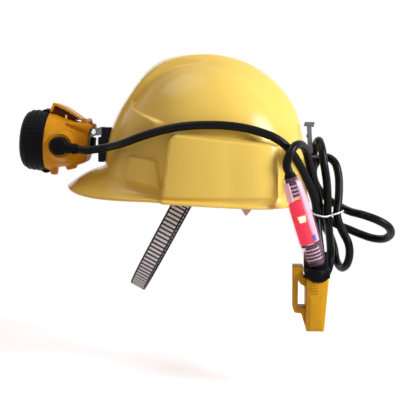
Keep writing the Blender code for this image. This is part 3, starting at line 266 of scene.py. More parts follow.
# %% Plastics and rubber
moulding("cap_yellow", (0.82, 0.57, 0.1), 0.94, 0.22, 0.06, peel=0.05, grain=260.0, gloss=0.26)
moulding("lamp_yellow", (0.72, 0.305, 0.006), 0.84, 0.4, 0.12, peel=0.12, grain=700.0, gloss=0.14)
moulding("battery_gold", (0.66, 0.33, 0.012), 0.88, 0.42, 0.1, peel=0.08, grain=700.0, gloss=0.12)
moulding("black_rubber", (0.004, 0.0035, 0.004), 0.6, 0.5, 0.16, peel=0.25, grain=1100.0, gloss=0.06)
moulding("black_plastic", (0.006, 0.006, 0.007), 0.7, 0.32, 0.14, peel=0.1, gloss=0.12)
moulding("cord_black", (0.004, 0.0034, 0.003), 0.7, 0.3, 0.1, peel=0.12, grain=500.0, gloss=0.1)
# This dark red-brown is painted shade: the hood's underside lying in shadow.
moulding("painted_shade_brown", (0.16, 0.042, 0.006), 0.6, 0.5, 0.1, peel=0.2, gloss=0.1)
moulding("band_white", (0.8, 0.79, 0.75), 0.9, 0.48, 0.1, peel=0.06)
moulding("tie_white", (0.85, 0.85, 0.83), 0.88, 0.5, 0.1, peel=0.1)

# %% Metals, board and cell
moulding("steel", (0.20, 0.205, 0.22), 0.6, 0.34, 0.16, 1.0, peel=0.08, stretch=(1, 1, 0.15))
moulding("chrome", (0.82, 0.82, 0.84), 0.9, 0.1, 0.06, 1.0, peel=0.02)
moulding("aluminium", (0.75, 0.76, 0.78), 0.85, 0.34, 0.1, 1.0, peel=0.06)
moulding("brass", (0.75, 0.52, 0.2), 0.8, 0.28, 0.1, 1.0, peel=0.04)
moulding("board_green", (0.02, 0.16, 0.07), 0.6, 0.42, 0.1, peel=0.1, cloud=260.0)
moulding("cell_silver", (0.5, 0.5, 0.52), 0.8, 0.4, 0.15, peel=0.15)

# %% Foam and tape
moulding("foam_grey", (0.09, 0.09, 0.095), 0.6, 0.9, 0.1, peel=0.8, grain=1500.0, Sheen_Weight=0.4)
moulding("tab_pink", (0.83, 0.45, 0.38), 0.85, 0.75, 0.1, peel=0.5, grain=1200.0, Sheen_Weight=0.3)

# %% Clear and glowing plastic
moulding("clear_plastic", (0.70, 0.36, 0.48), 0.85, 0.09, 0.05, peel=0.03, gloss=0.8, Alpha=0.09)
moulding("lens_plastic", (0.90, 0.92, 0.95), 0.95, 0.08, 0.04, peel=0.02, gloss=0.5, Alpha=0.12)
moulding("red_plastic", (0.85, 0.006, 0.03), 0.45, 0.3, 0.1, peel=0.05, cloud=160.0, gloss=0.1,
         glow=((1.0, 0.012, 0.06), 0.55))
# This pale pink that glows is painted light: the sheen of the clear tube and the light seen through it.
moulding("painted_light_pink", (0.93, 0.64, 0.73), 0.7, 0.3, 0.1, peel=0.1, cloud=140.0, gloss=0.3,
         glow=((1.0, 0.62, 0.72), 0.2), Alpha=0.72)
moulding("led_white", (1.0, 0.9, 0.7), 0.95, 0.3, 0.05, peel=0.02, glow=((1.0, 0.85, 0.5), 0.9))
moulding("diode_rim", (1.0, 0.30, 0.06), 0.9, 0.4, 0.05, peel=0.02, glow=((1.0, 0.22, 0.03), 1.0))
moulding("capacitor_blue", (0.04, 0.14, 0.62), 0.8, 0.35, 0.1, peel=0.05)
print("finishes:", len(finishes))

# %% [markdown]
# ## From numbers to a mesh
# Each new surface is a grid: rows along one parameter, columns along the other. Index arithmetic
# on whole arrays turns a grid into quads, and doubles at a pole are merged, so that every piece
# is closed. Recalculated normals then point outwards, and sharp edges stay sharp.

# %% Grids and pieces


def grid_faces(rows, columns, loop=False):
    """Quads (r, c), (r, c+1), (r+1, c+1), (r+1, c), with c wrapping, and r too for a loop."""
    r, c = np.meshgrid(np.arange(rows if loop else rows - 1), np.arange(columns), indexing="ij")
    down, right = (r + 1) % rows, (c + 1) % columns
    quads = [r * columns + c, r * columns + right, down * columns + right, down * columns + c]
    return np.stack(quads, axis=-1).reshape(-1, 4)


def dress(ob, slot, body, *nodes, finish=None):
    """Give a piece its finish, its body and the CAD nodes that it stands for.

    The finish is the slot's own, or another one that the same slot can take.
    """
    ob.data.materials.clear()
    ob.data.materials.append(finishes[finish or slot])
    if body:
        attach(ob, body)
    if nodes:
        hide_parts(*nodes)
    print(f"{ob.name}: {len(ob.data.polygons)} faces")
    return ob


def smooth_object(name, mesh, merge, sharp, flat=0.0):
    """An object of a mesh: doubles merged, flat edges dissolved, normals outwards, edges sharp."""
    work = bmesh.new()
    work.from_mesh(mesh)
    bmesh.ops.remove_doubles(work, verts=work.verts, dist=merge)
    if flat:
        bmesh.ops.dissolve_limit(work, angle_limit=flat, verts=work.verts, edges=work.edges)
    bmesh.ops.recalc_face_normals(work, faces=work.faces)
    work.to_mesh(mesh)
    work.free()
    mesh.shade_smooth()
    mesh.set_sharp_from_angle(angle=sharp)
    ob = bpy.data.objects.new(name, mesh)
    bpy.context.scene.collection.objects.link(ob)
    return ob


def new_piece(name, grids, slot, body, *nodes, finish=None, sharp=40.0, uv=None):
    """One object from (points, faces) grids in millimetres; uv holds two numbers a face corner."""
    start, points, faces = 0, [], []
    for grid, quads in grids:
        flat = np.asarray(grid, float).reshape(-1, 3)
        points.append(flat)
        faces += [tuple(int(i) + start for i in quad) for quad in quads]
        start += len(flat)
    mesh = bpy.data.meshes.new(name)
    mesh.from_pydata((np.concatenate(points) * MM).tolist(), [], faces)
    if uv is not None:
        mesh.uv_layers.new(name="flow").data.foreach_set("uv", np.asarray(uv, float).ravel())
    ob = smooth_object(name, mesh, 0.000002, radians(sharp))
    return dress(ob, slot, body, *nodes, finish=finish)


def plain_grid(points, loop=False):
    """A grid as (points, faces), left open at its ends unless it is a loop."""
    points = np.asarray(points, float)
    return points, grid_faces(*points.shape[:2], loop)


def loop_grid(points):
    """A grid as (points, faces), its last row joined to its first."""
    return plain_grid(points, loop=True)


def capped(points):
    """A grid with both end rows drawn together to their middles, as (points, faces)."""
    points = np.asarray(points, float)
    ends = [np.broadcast_to(row.mean(axis=0), row.shape)[None] for row in (points[0], points[-1])]
    return plain_grid(np.concatenate([ends[0], points, ends[1]]))


def flat_ended(points):
    """A grid whose two end rows are each closed by one flat face, for outlines with hollows."""
    points = np.asarray(points, float)
    rows, columns = points.shape[:2]
    ends = [tuple(range(columns)), tuple(range((rows - 1) * columns, rows * columns))]
    return points, [*map(tuple, grid_faces(rows, columns)), *ends]


# %% Curves and frames


def full_turn(count):
    """Even angles round one turn."""
    return np.arange(count) * 2 * pi / count


def length_along(points):
    """How far along its path each point lies."""
    return np.concatenate([[0], np.cumsum(np.linalg.norm(np.diff(points, axis=0), axis=1))])


def joined(*parts):
    """Coordinates as one grid, each spread over the rows or the columns that it lacks."""
    return np.stack(np.broadcast_arrays(*parts), axis=-1)


def squarish(wave, power):
    """A sine or cosine with its size raised to a power, which below 1 squares a circle off."""
    return np.sign(wave) * np.abs(wave) ** power


def smooth_curve(points, count):
    """Evenly spaced points on a centripetal Catmull-Rom curve through the given ones.

    Each stretch blends three straight blends of its four nearest points, with the time between
    two points the square root of their distance, which keeps the curve from looping back.
    count is how many points, or an array of the shares of the length to read it at.
    """
    p = np.asarray(points, float)
    p = np.vstack([2 * p[0] - p[1], p, 2 * p[-1] - p[-2]])
    fine = []
    for a, b, c, d in zip(p[:-3], p[1:-2], p[2:-1], p[3:]):
        t1 = np.linalg.norm(b - a) ** 0.5
        t2 = t1 + np.linalg.norm(c - b) ** 0.5
        t3 = t2 + np.linalg.norm(d - c) ** 0.5
        t = np.linspace(t1, t2, 24, endpoint=False)[:, None]
        ab = (t1 - t) / t1 * a + t / t1 * b
        bc = (t2 - t) / (t2 - t1) * b + (t - t1) / (t2 - t1) * c
        cd = (t3 - t) / (t3 - t2) * c + (t - t2) / (t3 - t2) * d
        abc = (t2 - t) / t2 * ab + t / t2 * bc
        bcd = (t3 - t) / (t3 - t1) * bc + (t - t1) / (t3 - t1) * cd
        fine.append((t2 - t) / (t2 - t1) * abc + (t - t1) / (t2 - t1) * bcd)
    fine.append(p[-2][None])
    fine = np.concatenate(fine)
    along = length_along(fine)
    shares = np.linspace(0, 1, count) if np.isscalar(count) else np.asarray(count)
    places = shares * along[-1]
    return np.stack([np.interp(places, along, column) for column in fine.T], axis=1)


def unit(vectors):
    return vectors / np.linalg.norm(vectors, axis=-1, keepdims=True)


def ease(x):
    """Smooth step: 0 at 0 and 1 at 1, level at both, 3x^2 - 2x^3 between."""
    x = np.clip(x, 0, 1)
    return x * x * (3 - 2 * x)


def carried_frames(path):
    """Two directions across a path that turn no more than it does.

    Each is the last one, made square to the path again.
    """
    tangent = unit(np.gradient(path, axis=0))
    side = np.empty_like(path)
    side[0] = unit(np.cross(tangent[0], (0.2, 0.1, 1.0)))
    for k in range(1, len(path)):
        side[k] = unit(side[k - 1] - tangent[k] * (side[k - 1] @ tangent[k]))
    return side, np.cross(tangent, side)


def tube_grid(path, radius, sides=20):
    """A circle of radius(s) carried along a path: p(s) + r(s) (cos a side + sin a up)."""
    side, up = carried_frames(path)
    a = full_turn(sides)
    r = np.broadcast_to(radius, (len(path),))[:, None, None]
    return path[:, None] + r * (np.cos(a)[:, None] * side[:, None] + np.sin(a)[:, None] * up[:, None])


# For each axis: the two directions across it, and its own.
AXES = {"x": ((0, 1, 0), (0, 0, 1), (1, 0, 0)),
        "y": ((0, 0, 1), (1, 0, 0), (0, 1, 0)),
        "z": ((1, 0, 0), (0, 1, 0), (0, 0, 1))}


def turned_grid(profile, axis="z", centre=(0, 0, 0), sides=64):
    """A profile of (along, radius) points turned about an axis: centre + along w + r circle."""
    u, v, w = (np.array(a, float) for a in AXES[axis])
    a = full_turn(sides)
    circle = np.cos(a)[:, None] * u + np.sin(a)[:, None] * v
    profile = np.asarray(profile, float)
    return np.array(centre, float) + profile[:, None, :1] * w + profile[:, None, 1:] * circle


# %% Outlines and plates
CORNER_STEPS = 4                # stretches that a rounded corner is made of


def rounded(corners, radius, closed=False):
    """An outline with its corners rounded.

    Each becomes a parabola from radius before it to radius after it, or to half of a short side.
    """
    p = np.asarray(corners, float)
    last, onward = np.roll(p, 1, axis=0), np.roll(p, -1, axis=0)
    t = np.linspace(0, 1, CORNER_STEPS + 1)[:, None]
    out = []
    for k in range(len(p)):
        if not closed and k in (0, len(p) - 1):
            out.append(p[k][None])
            continue
        before, after = last[k] - p[k], onward[k] - p[k]
        long_before, long_after = np.linalg.norm(before), np.linalg.norm(after)
        a = p[k] + before / long_before * min(radius, long_before / 2)
        b = p[k] + after / long_after * min(radius, long_after / 2)
        out.append((1 - t) ** 2 * a + 2 * t * (1 - t) * p[k] + t ** 2 * b)
    return np.concatenate(out)


def plate_grid(outline, along, axis="y", edge=0.6):
    """An outline (u, v) carried along an axis from along[0] to along[1].

    Near both ends it is drawn in by up to edge, along a quarter circle, so that the rims are round.
    """
    u, v, w = (np.array(a, float) for a in AXES[axis])
    outline = np.asarray(outline, float)
    tangent = unit(np.roll(outline, -1, axis=0) - np.roll(outline, 1, axis=0))
    following = np.roll(outline, -1, axis=0)
    area = np.sum(outline[:, 0] * following[:, 1] - outline[:, 1] * following[:, 0])
    inward = np.column_stack([-tangent[:, 1], tangent[:, 0]]) * np.sign(area)
    a = np.linspace(0, pi / 2, 4)
    draw, step = edge * (1 - np.sin(a)), edge * (1 - np.cos(a))
    drawn = np.concatenate([draw, [0], draw[::-1]])
    place = np.concatenate([along[0] + step, [sum(along) / 2], along[1] - step[::-1]])
    flat = outline[None] + inward[None] * drawn[:, None, None]
    return flat[..., :1] * u + flat[..., 1:] * v + place[:, None, None] * w


def side_plate(corners, along, radius, edge=0.6):
    """A plate across Y, from along[0] to along[1]; its outline (x, z) has rounded corners."""
    return plate_grid(rounded([(z, x) for x, z in corners], radius, closed=True), along, "y", edge)


# %% A solid with rounded edges
FACET_ANGLE, EDGE_ANGLE = radians(1.5), radians(35)    # flatter is one face, sharper is an edge


def refined(node, slot, body, edge, finish=None):
    """A copy of a CAD solid with its doubles merged and its edges rounded by edge millimetres."""
    mesh = frame["nodes"][node].data.copy()
    ob = smooth_object(f"{node}_fine", mesh, 0.00002, EDGE_ANGLE, FACET_ANGLE)
    if edge:
        rim = ob.modifiers.new("rim", "BEVEL")
        rim.width = edge * MM
        rim.segments = 2
        rim.limit_method = "ANGLE"
        rim.angle_limit = EDGE_ANGLE
        rim.harden_normals = True
    return dress(ob, slot, body, node, finish=finish)


# %% [markdown]
# ## The headpiece's own frame
# The headpiece hangs on its tilt pin, and rests turned 5 degrees about it. Its pieces are easier
# to work out with the lamp's axis level, so a function turns finished points into place.

# %% Headpiece frame
tilt_joint = next(j for j in frame["joints"] if j["name"] == "lamp_tilt")
TILT_PIN = np.array(tilt_joint["pos_m"]) / MM
REST_TILT = radians(5)
LAMP_Z = -15.2                  # the lamp's axis, below the pin
TILT_TURN = np.array([[cos(REST_TILT), 0, sin(REST_TILT)],
                      [0, 1, 0],
                      [-sin(REST_TILT), 0, cos(REST_TILT)]])


def in_place(points):
    """Points about the tilt pin, turned about Y by the resting tilt and moved to the pin."""
    return np.asarray(points, float) @ TILT_TURN.T + TILT_PIN


def lug_grid(outline, along, radius=1.4):
    """A plate across the headpiece: an outline (x, z) about the pin, from along[0] to along[1]."""
    return in_place(side_plate(outline, along, radius))


print("tilt pin, mm:", TILT_PIN)

# %% [markdown]
# ## The cable
# One cable of 1.4 m leaves the swivel gland on the headpiece, runs up and over the cap's side, falls in loops
# behind it, and ends in the warning light. The picture shows all of it, so its points are read off in order and
# the curve runs smoothly through them. A circle is carried along the path to make the tube.

# %% Route of the cable, mm
SIDE_RUN = [(-120, -47, 59.5), (-103, -56, 62.5), (-84, -76, 67.5), (-61, -88.5, 75.5),
            (-38, -95.2, 82), (-17, -98.5, 85.6), (4, -99.3, 86.8), (25, -98.3, 86.3),
            (46, -94.8, 83.6), (62, -92.6, 79.3), (76, -91, 74)]
HANK = [(87.5, -88, 66), (96, -81, 56), (104.5, -71, 43), (115, -57, 22), (122, -48.5, 3),
        (124, -45, -13), (126, -52, -35), (128.5, -59, -55), (131, -54.5, -70.5), (135.5, -40, -77.5),
        (140, -25.5, -70.5), (141.5, -20.5, -55), (139, -30.5, -33), (136, -42, -13), (136, -42, 6),
        (134.5, -40.5, 27), (131.5, -40, 45), (129.5, -34.5, 60), (127, -17.5, 69), (124, -0.5, 61),
        (122, 4.5, 45), (123, 2, 26), (126, -3, 9), (130, -6.5, -6), (137.5, -8, -18),
        (148.5, -8, -26), (162, -8, -31.5), (176, -11, -37), (189, -18, -40.5), (199.5, -29, -39.5),
        (205, -42.5, -32.5), (200.5, -54.5, -23), (188, -59, -15.5), (174, -51, -11),
        (161.5, -33, -9), (151, -13, -5), (139.5, 3.5, 1.5), (130.5, 13, 11), (125, 18, 22),
        (123.5, 19, 34), (128, 13.5, 44.5), (137.5, 1.5, 49.5), (146, -10.5, 43.5), (149.5, -15.5, 31),
        (150, -20.5, 18), (149, -27.5, 4), (147, -36, -13), (151.5, -42.5, -28), (158.5, -46, -42),
        (160.5, -43.5, -54), (158.5, -36.8, -67), (153.7, -22.5, -73.6), (149, -8.3, -67.6),
        (146.5, -1.5, -53), (141, -6, -38), (133.5, -19, -26), (128.5, -30, -13), (126.5, -34.5, 3),
        (121.5, -42, 22), (116.5, -51, 39), (113, -60.5, 52), (109, -73, 62), (103.5, -86.5, 66.5),
        (97.5, -98, 65), (92.2, -104, 57.5)]
WAIST_Z = -13                   # height of the tie
GLAND_X, GLAND_Z = -33.5, -18   # the swivel's axis, about the tilt pin
RELIEF_START, RELIEF_STOP = (GLAND_X, -40.4, GLAND_Z - 1), (-11, -43.5, GLAND_Z - 1.6)
TAIL_TOP, TAIL_BOTTOM = np.array((93, -104, 33.0)), np.array((121, -99, -58.0))
tail_axis = unit(TAIL_TOP - TAIL_BOTTOM)
gland_tip, gland_root = in_place([RELIEF_STOP, RELIEF_START])
gland_aim = unit(gland_tip - gland_root)
tail_tip = TAIL_TOP + tail_axis * 4

# %% The cable's mesh
CORD_STEP = 1.6                 # mm between rings
CORD_GAP = 0.35                 # its ends stop just short of the glands


def cable_path():
    """The smooth line through all the points, straight where it leaves each gland."""
    first = [gland_tip + gland_aim * CORD_GAP, gland_tip + gland_aim * CORD_D]
    last = [tail_tip + tail_axis * (CORD_D + CORD_GAP), tail_tip + tail_axis * CORD_GAP]
    route = smooth_curve(first + SIDE_RUN + HANK + last, 2001)
    length = length_along(route)[-1]
    return smooth_curve(route[::5], int(length / CORD_STEP)), length


cable_line, cable_length = cable_path()
cable = new_piece("cable", [capped(tube_grid(cable_line, CORD_D / 2, 24))], "cord_black", None,
                  "cord_side_run", "cord_hank")
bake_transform(cable)
print(f"cable: {cable_length:.0f} mm")

# %% [markdown]
# ## The cap's shell
# A cap is one injection-moulded wall. Three profiles, front, side and rear, say how far the dome
# reaches and how high it is at each level; a squarish plan joins them round the head. Sculpting
# would be quicker to start, but a formula keeps both sides alike, fits the solid underneath, and
# lets the comb, the housings and the pads be smooth steps added along the surface's normals.
# Polar columns run from the crown to the rim, with more rows below, where the housings are.

# %% Dome
# Each profile gives (reach, height), from the crown down to the foot.
FRONT_PROFILE = [(0, 158), (28, 156.5), (46, 151.5), (62, 139.5),
                 (87, 105), (104, 77), (111, 60), (115, 40)]
REAR_PROFILE = [(0, 158), (38, 150.5), (66, 134), (88, 111), (101, 91), (110, 68), (115, 38), (116, 9)]
SIDE_PROFILE = [(0, 158), (36, 154.5), (60, 143), (79, 121), (90, 93), (95, 66), (98, 34), (100, 9)]
PLAN_POWER = 2.35               # squareness of the dome's plan
SHELL_COLUMNS, SHELL_THICK = 384, 2.6
FRONT_TURN = radians(75)        # how far round the front profile passes into the side's
TABLE = np.linspace(0, 1, 241)
front_curve = smooth_curve(FRONT_PROFILE, TABLE)
rear_curve = smooth_curve(REAR_PROFILE, TABLE)
side_curve = smooth_curve(SIDE_PROFILE, TABLE)


def read(curve, level, part):
    """Part 0 (reach) or 1 (height) of a profile at a level."""
    return np.interp(level, TABLE, curve[:, part])


def dome_grid(level, angle):
    """The dome at a level (0 crown, 1 foot) and a plan angle (0 rear, half a turn front).

    The plan is a superellipse, (x / reach)^p + (y / side)^p = 1, solved along each angle; the
    height blends the rear or front profile into the side's by direction.
    """
    level = level[:, None]
    c, s = np.cos(angle)[None], np.abs(np.sin(angle))[None]
    reach = np.where(c > 0, read(rear_curve, level, 0), read(front_curve, level, 0)) + 1e-6
    side = read(side_curve, level, 0) + 1e-6
    power = 2 + (PLAN_POWER - 2) * side / side_curve[-1, 0]
    r = ((np.abs(c) / reach) ** power + (s / side) ** power) ** (-1 / power)
    rear_z, side_z, front_z = (read(curve, level, 1) for curve in (rear_curve, side_curve, front_curve))
    from_rear = np.arctan2(s, c)
    front_share = ease(1 - (pi - from_rear) / FRONT_TURN)
    z = np.where(c > 0, rear_z + (side_z - rear_z) * s ** 2, side_z + (front_z - side_z) * front_share)
    return joined(r * np.cos(angle), r * np.sin(angle), z)


def even_angles(count):
    """Plan angles that lie evenly along the dome's foot: its length so far, read backwards."""
    fine = np.linspace(-pi, pi, 4001)
    foot = dome_grid(np.ones(1), fine)[0]
    along = length_along(foot)
    return np.interp(np.linspace(0, along[-1], count, endpoint=False), along, fine)


# %% Brim
PEAK_REACH, PEAK_TIP_Z, PEAK_ARCH, PEAK_CROWN = 157, 19, radians(24), 14
BRIM_SIDE, BRIM_REAR, BRIM_Z, BRIM_POWER = 107, 118, 1.5, 2.25
BRIM_SAG = 0.7                  # how hollow the brim is, as a share of its fall
BRIM_RISE = 8.2                 # how much higher the rim is beside the peak than behind
RISE_FROM_X, RISE_LENGTH = 75, 130  # where it begins, and over what length
FOOT_ROWS = 5                   # rows that the soft corner between wall and brim takes


def brim_rows(foot, shares):
    """From the wall's foot to the edge: a straight blend that sags by BRIM_SAG s (1 - s).

    Over the peak the edge rises and the blend crowns upwards instead, both by the arch
    exp(-(angle from the front / 24 degrees)^2).
    """
    direction = np.arctan2(foot[:, 1], foot[:, 0])
    arch = np.exp(-((pi - np.abs(direction)) / PEAK_ARCH) ** 2)
    c, s = np.cos(direction), np.abs(np.sin(direction))
    along = np.where(c > 0, BRIM_REAR, PEAK_REACH)
    reach = ((np.abs(c) / along) ** BRIM_POWER + (s / BRIM_SIDE) ** BRIM_POWER) ** (-1 / BRIM_POWER)
    x, y = reach * np.cos(direction), reach * np.sin(direction)
    side_z = BRIM_Z + BRIM_RISE * np.clip((RISE_FROM_X - x) / RISE_LENGTH, 0, 1)
    edge = np.column_stack([x, y, side_z + (PEAK_TIP_Z - side_z) * arch])
    rows = foot + (edge - foot) * shares[:, None, None]
    bow = (shares * (1 - shares))[:, None]
    rows[..., 2] += PEAK_CROWN * bow * arch
    rows[..., 2] -= (foot[:, 2] - edge[:, 2]) * BRIM_SAG * bow * (1 - arch)
    return rows


def soften(rows, first, last, passes=10):
    """Round a crease across rows: each becomes a quarter, a half and a quarter of the three."""
    for _ in range(passes):
        above, below = rows[first - 1:last - 1], rows[first + 1:last + 1]
        rows[first:last] = (above + 2 * rows[first:last] + below) / 4
    return rows


# %% Normals of a grid


def grid_normals(grid):
    """Outward normals: the cross product of the steps round and down the grid."""
    around = np.roll(grid, -1, axis=1) - np.roll(grid, 1, axis=1)
    down = np.gradient(grid, axis=0)
    normal = unit(np.cross(around, down) + 1e-12)
    normal[0] = (0, 0, 1)
    return normal if normal[20, 0] @ grid[20, 0] > 0 else -normal


# %% The comb and its apron
COMB_RAISE, COMB_HALF_WIDTH, COMB_EDGE = 8.5, 37, 6
COMB_REAR_SOFT = 30             # towards the rear the comb's edge melts into the dome
COMB_FADE_FRONT_Z, COMB_FADE_REAR_Z, COMB_FADE = 46, 60, 60     # where it starts to rise
APRON_TOP, APRON_SPREAD = 113, 46   # where the comb widens in front, and by how much
APRON_SLOPE, APRON_SHARE = 26, 0.55     # over what height, and how proud against the comb
APRON_FOOT_Z, APRON_FADE = 66, 34


def raise_comb(grid):
    """A broad band along the crown, and an apron where it widens down the front.

    Each is a product of smooth steps: across the band's edge, and up from where it fades out.
    """
    x, y, z = np.moveaxis(grid, -1, 0)
    edge = COMB_EDGE + COMB_REAR_SOFT * ease((x + 25) / 70)
    across = ease((COMB_HALF_WIDTH - np.abs(y)) / edge + 0.5)
    fade = ease((z - np.where(x < 0, COMB_FADE_FRONT_Z, COMB_FADE_REAR_Z)) / COMB_FADE)
    half = COMB_HALF_WIDTH + APRON_SPREAD * ease((APRON_TOP - z) / APRON_SLOPE)
    apron = (ease((half - np.abs(y)) / COMB_EDGE + 0.5) * ease((z - APRON_FOOT_Z) / APRON_FADE)
             * ease(-x / 12) * APRON_SHARE)
    return grid + grid_normals(grid) * (COMB_RAISE * np.maximum(across * fade, apron))[..., None]


# %% The side housings
POD_FRONT_X, POD_REAR_X, POD_PROUD, POD_EDGE = -33, 76.5, 12, 5
POD_SPREAD = 0.42               # how much of a housing's growth follows the wall round
POD_REAR_GROW = 6               # behind, where the wall turns away, it stands prouder
POD_TOP_Z, POD_TOP_FALL, POD_SLANT = 74.7, 0.113, 0.11
POD_CORNER = 10                 # radius of its front upper corner
POD_FOOT_Z, POD_LEAST = 12, 1.5     # below this height it comes in again, but not past this


def raise_pods(grid):
    """Side housings: the wall steps outwards inside a leaning outline with one round corner."""
    x, y, z = np.moveaxis(grid, -1, 0)
    below_top = POD_TOP_Z - POD_TOP_FALL * x - z
    behind_front = x - POD_FRONT_X + POD_SLANT * np.maximum(0, POD_TOP_Z - z)
    corner = np.hypot(np.maximum(POD_CORNER - below_top, 0), np.maximum(POD_CORNER - behind_front, 0))
    share = (ease((POD_CORNER - corner) / POD_EDGE + 0.5)
             * ease((POD_REAR_X - x) / POD_EDGE + 0.5)) * (np.abs(y) > COMB_HALF_WIDTH)
    proud = POD_PROUD + POD_REAR_GROW * ease((x - 25) / 45) - np.maximum(0, POD_FOOT_Z - z)
    outward = unit(np.stack([x * POD_SPREAD, y], axis=-1) + 1e-9)
    grown = grid.copy()
    grown[..., :2] += (np.maximum(proud, POD_LEAST) * share)[..., None] * outward
    return grown


# %% The front pads and the rear ribs
# Corners (x, z) of the pad in front of each housing: top rear, top front, low front, low rear.
PAD = [(-47.5, 49), (-76.4, 52.4), (-81.5, 28), (-42.5, 20.5)]
PAD_PROUD, PAD_EDGE = 4.4, 2.6
RIB_X, RIB_HALF, RIB_PROUD = 88, 2.6, 2.2      # upright rib behind each housing
RIB_LOW_Z, RIB_HIGH_Z, RIB_FADE = 10, 66, 6
RIB_LEAST_Y = 50                # it is left out across the rear


def raise_pads(grid):
    """Inside the pad's four straight edges, and on the rib, the wall rises by smooth steps."""
    x, y, z = np.moveaxis(grid, -1, 0)
    inside = (np.abs(y) > COMB_HALF_WIDTH) * 1.0
    corners = np.array(PAD, float)
    for a, b in zip(corners, np.roll(corners, -1, axis=0)):
        along = unit(b - a)
        depth = (z - a[1]) * along[0] - (x - a[0]) * along[1]
        inside = inside * ease(depth / PAD_EDGE + 0.5)
    rib = (ease((RIB_HALF - np.abs(x - RIB_X)) / 2 + 0.5) * ease((RIB_HIGH_Z - z) / RIB_FADE)
           * ease((z - RIB_LOW_Z) / RIB_FADE) * (np.abs(y) > RIB_LEAST_Y))
    return grid + grid_normals(grid) * (PAD_PROUD * inside + RIB_PROUD * rib)[..., None]


# %% Shell mesh
DOME_LEVELS = np.concatenate([np.linspace(0, 0.5, 56, endpoint=False), np.linspace(0.5, 1, 96)])
BRIM_SHARES = np.linspace(0, 1, 15)[1:]
ROLL_RADIUS = 1.9               # the brim ends in a small round bead
INNER_STEP = 4                  # the inner wall needs only every fourth row


def shell_grid():
    """Outer wall, bead round the edge, and inner wall back to the crown, as one run of rows."""
    dome = dome_grid(DOME_LEVELS, even_angles(SHELL_COLUMNS))
    rows = np.concatenate([dome, brim_rows(dome[-1], BRIM_SHARES)])
    rows = soften(rows, len(dome) - FOOT_ROWS, len(dome) + FOOT_ROWS // 2)
    outer = raise_pads(raise_pods(raise_comb(rows)))
    normal = grid_normals(outer)
    inner = (outer - normal * SHELL_THICK)[::-INNER_STEP]
    edge, up = outer[-1], normal[-1]
    outward = unit(edge - outer[-3])
    turn = np.linspace(0.15 * pi, 1.1 * pi, 8)[:, None, None]
    middle = edge - up * ROLL_RADIUS * 0.9
    bead = middle + ROLL_RADIUS * (np.cos(turn) * up + np.sin(turn) * outward)
    return np.concatenate([outer, bead, inner[1:], inner[-1:] * 0 + inner[-1].mean(axis=0)])


new_piece("cap_body", [plain_grid(shell_grid())], "cap_yellow", "cap", "cap_shell", sharp=60)

# %% [markdown]
# ## The rubber bezel
# The lens is held by a moulded rubber ring with rows of grip knobs. It is a turned profile whose
# radius is raised by a product of two waves, one round the ring and one along it: each crest is a
# knob. A texture would do from afar, but the knobs show in the ring's outline.

# %% Bezel ring
BEZEL_R, APERTURE_R, LENS_R, COLLAR_R = 34.5, 21.8, 26, 30.8
BEZEL_FRONT, BEZEL_REAR, SEAT_X = -82.3, -53.6, -79.1
KNOBS, KNOB_HEIGHT = 44, 0.6
KNOB_BAND = (-80.5, -59.5)      # from the front's shoulder to the smooth rear band
KNOB_ROW_X, KNOB_ROW_STEP = -61.5, 5.8
KNOB_ROWS_END = 74              # the profile's points up to here may carry knobs


def bezel_grid():
    """Profile (along, radius) turned about the lamp's axis, with radius raised by the waves."""
    angle = full_turn(6 * KNOBS)
    outside = smooth_curve([(BEZEL_REAR, BEZEL_R - 0.5), (-54.6, BEZEL_R), (-66, BEZEL_R),
                            (-71.5, BEZEL_R - 0.3), (-76.3, 32.7), (-79.8, 29.6), (-81.7, 26.2),
                            (BEZEL_FRONT, 23.6), (-81.6, APERTURE_R), (SEAT_X, APERTURE_R)], 84)
    inside = rounded([(SEAT_X, LENS_R + 0.4), (-71.9, LENS_R + 0.4), (-71.9, COLLAR_R + 0.4),
                      (BEZEL_REAR, COLLAR_R + 0.4)], 0.5)
    profile = np.concatenate([outside, inside])
    along, radius = profile[:, :1], profile[:, 1:]
    outer = (np.arange(len(profile)) < KNOB_ROWS_END)[:, None]
    band = ease((along - KNOB_BAND[0]) / 2) * ease((KNOB_BAND[1] - along) / 1.5)
    round_wave = ease(0.5 + 0.9 * np.cos(KNOBS * angle))
    along_wave = ease(0.62 + 0.9 * np.cos((along - KNOB_ROW_X) * 2 * pi / KNOB_ROW_STEP))
    radius = radius + outer * band * KNOB_HEIGHT * (round_wave * along_wave - 0.4)
    return in_place(joined(along, radius * np.cos(angle), LAMP_Z + radius * np.sin(angle)))


# Tongues that lap over the housing above and below, as (x, z) about the pin.
TONGUES = [[(-64.5, 17.8), (-59.5, 21), (-53.8, 21), (-53.7, 17.8), (-55.5, 16.8)],
           [(-61.5, -48.2), (-55, -47.2), (-53.2, -48.55), (-50.8, -48.6), (-50.6, -51.6),
            (-55, -51.9)]]
tongue_parts = [capped(lug_grid(tongue, (-7, 7), 1.2)) for tongue in TONGUES]
new_piece("bezel", [loop_grid(bezel_grid()), *tongue_parts], "black_rubber", "headpiece",
          "bezel_ring", sharp=50)

# %% [markdown]
# ## The yellow housing
# The cup is a loft through rings that turn from round, at the bezel, to squarish at the hinge.
# The cable's boss and the switch's boss are pushed out of its sides by distance from their axes,
# with a raised collar round the gland. The wedge that rises to the hinge is a cone of its own.

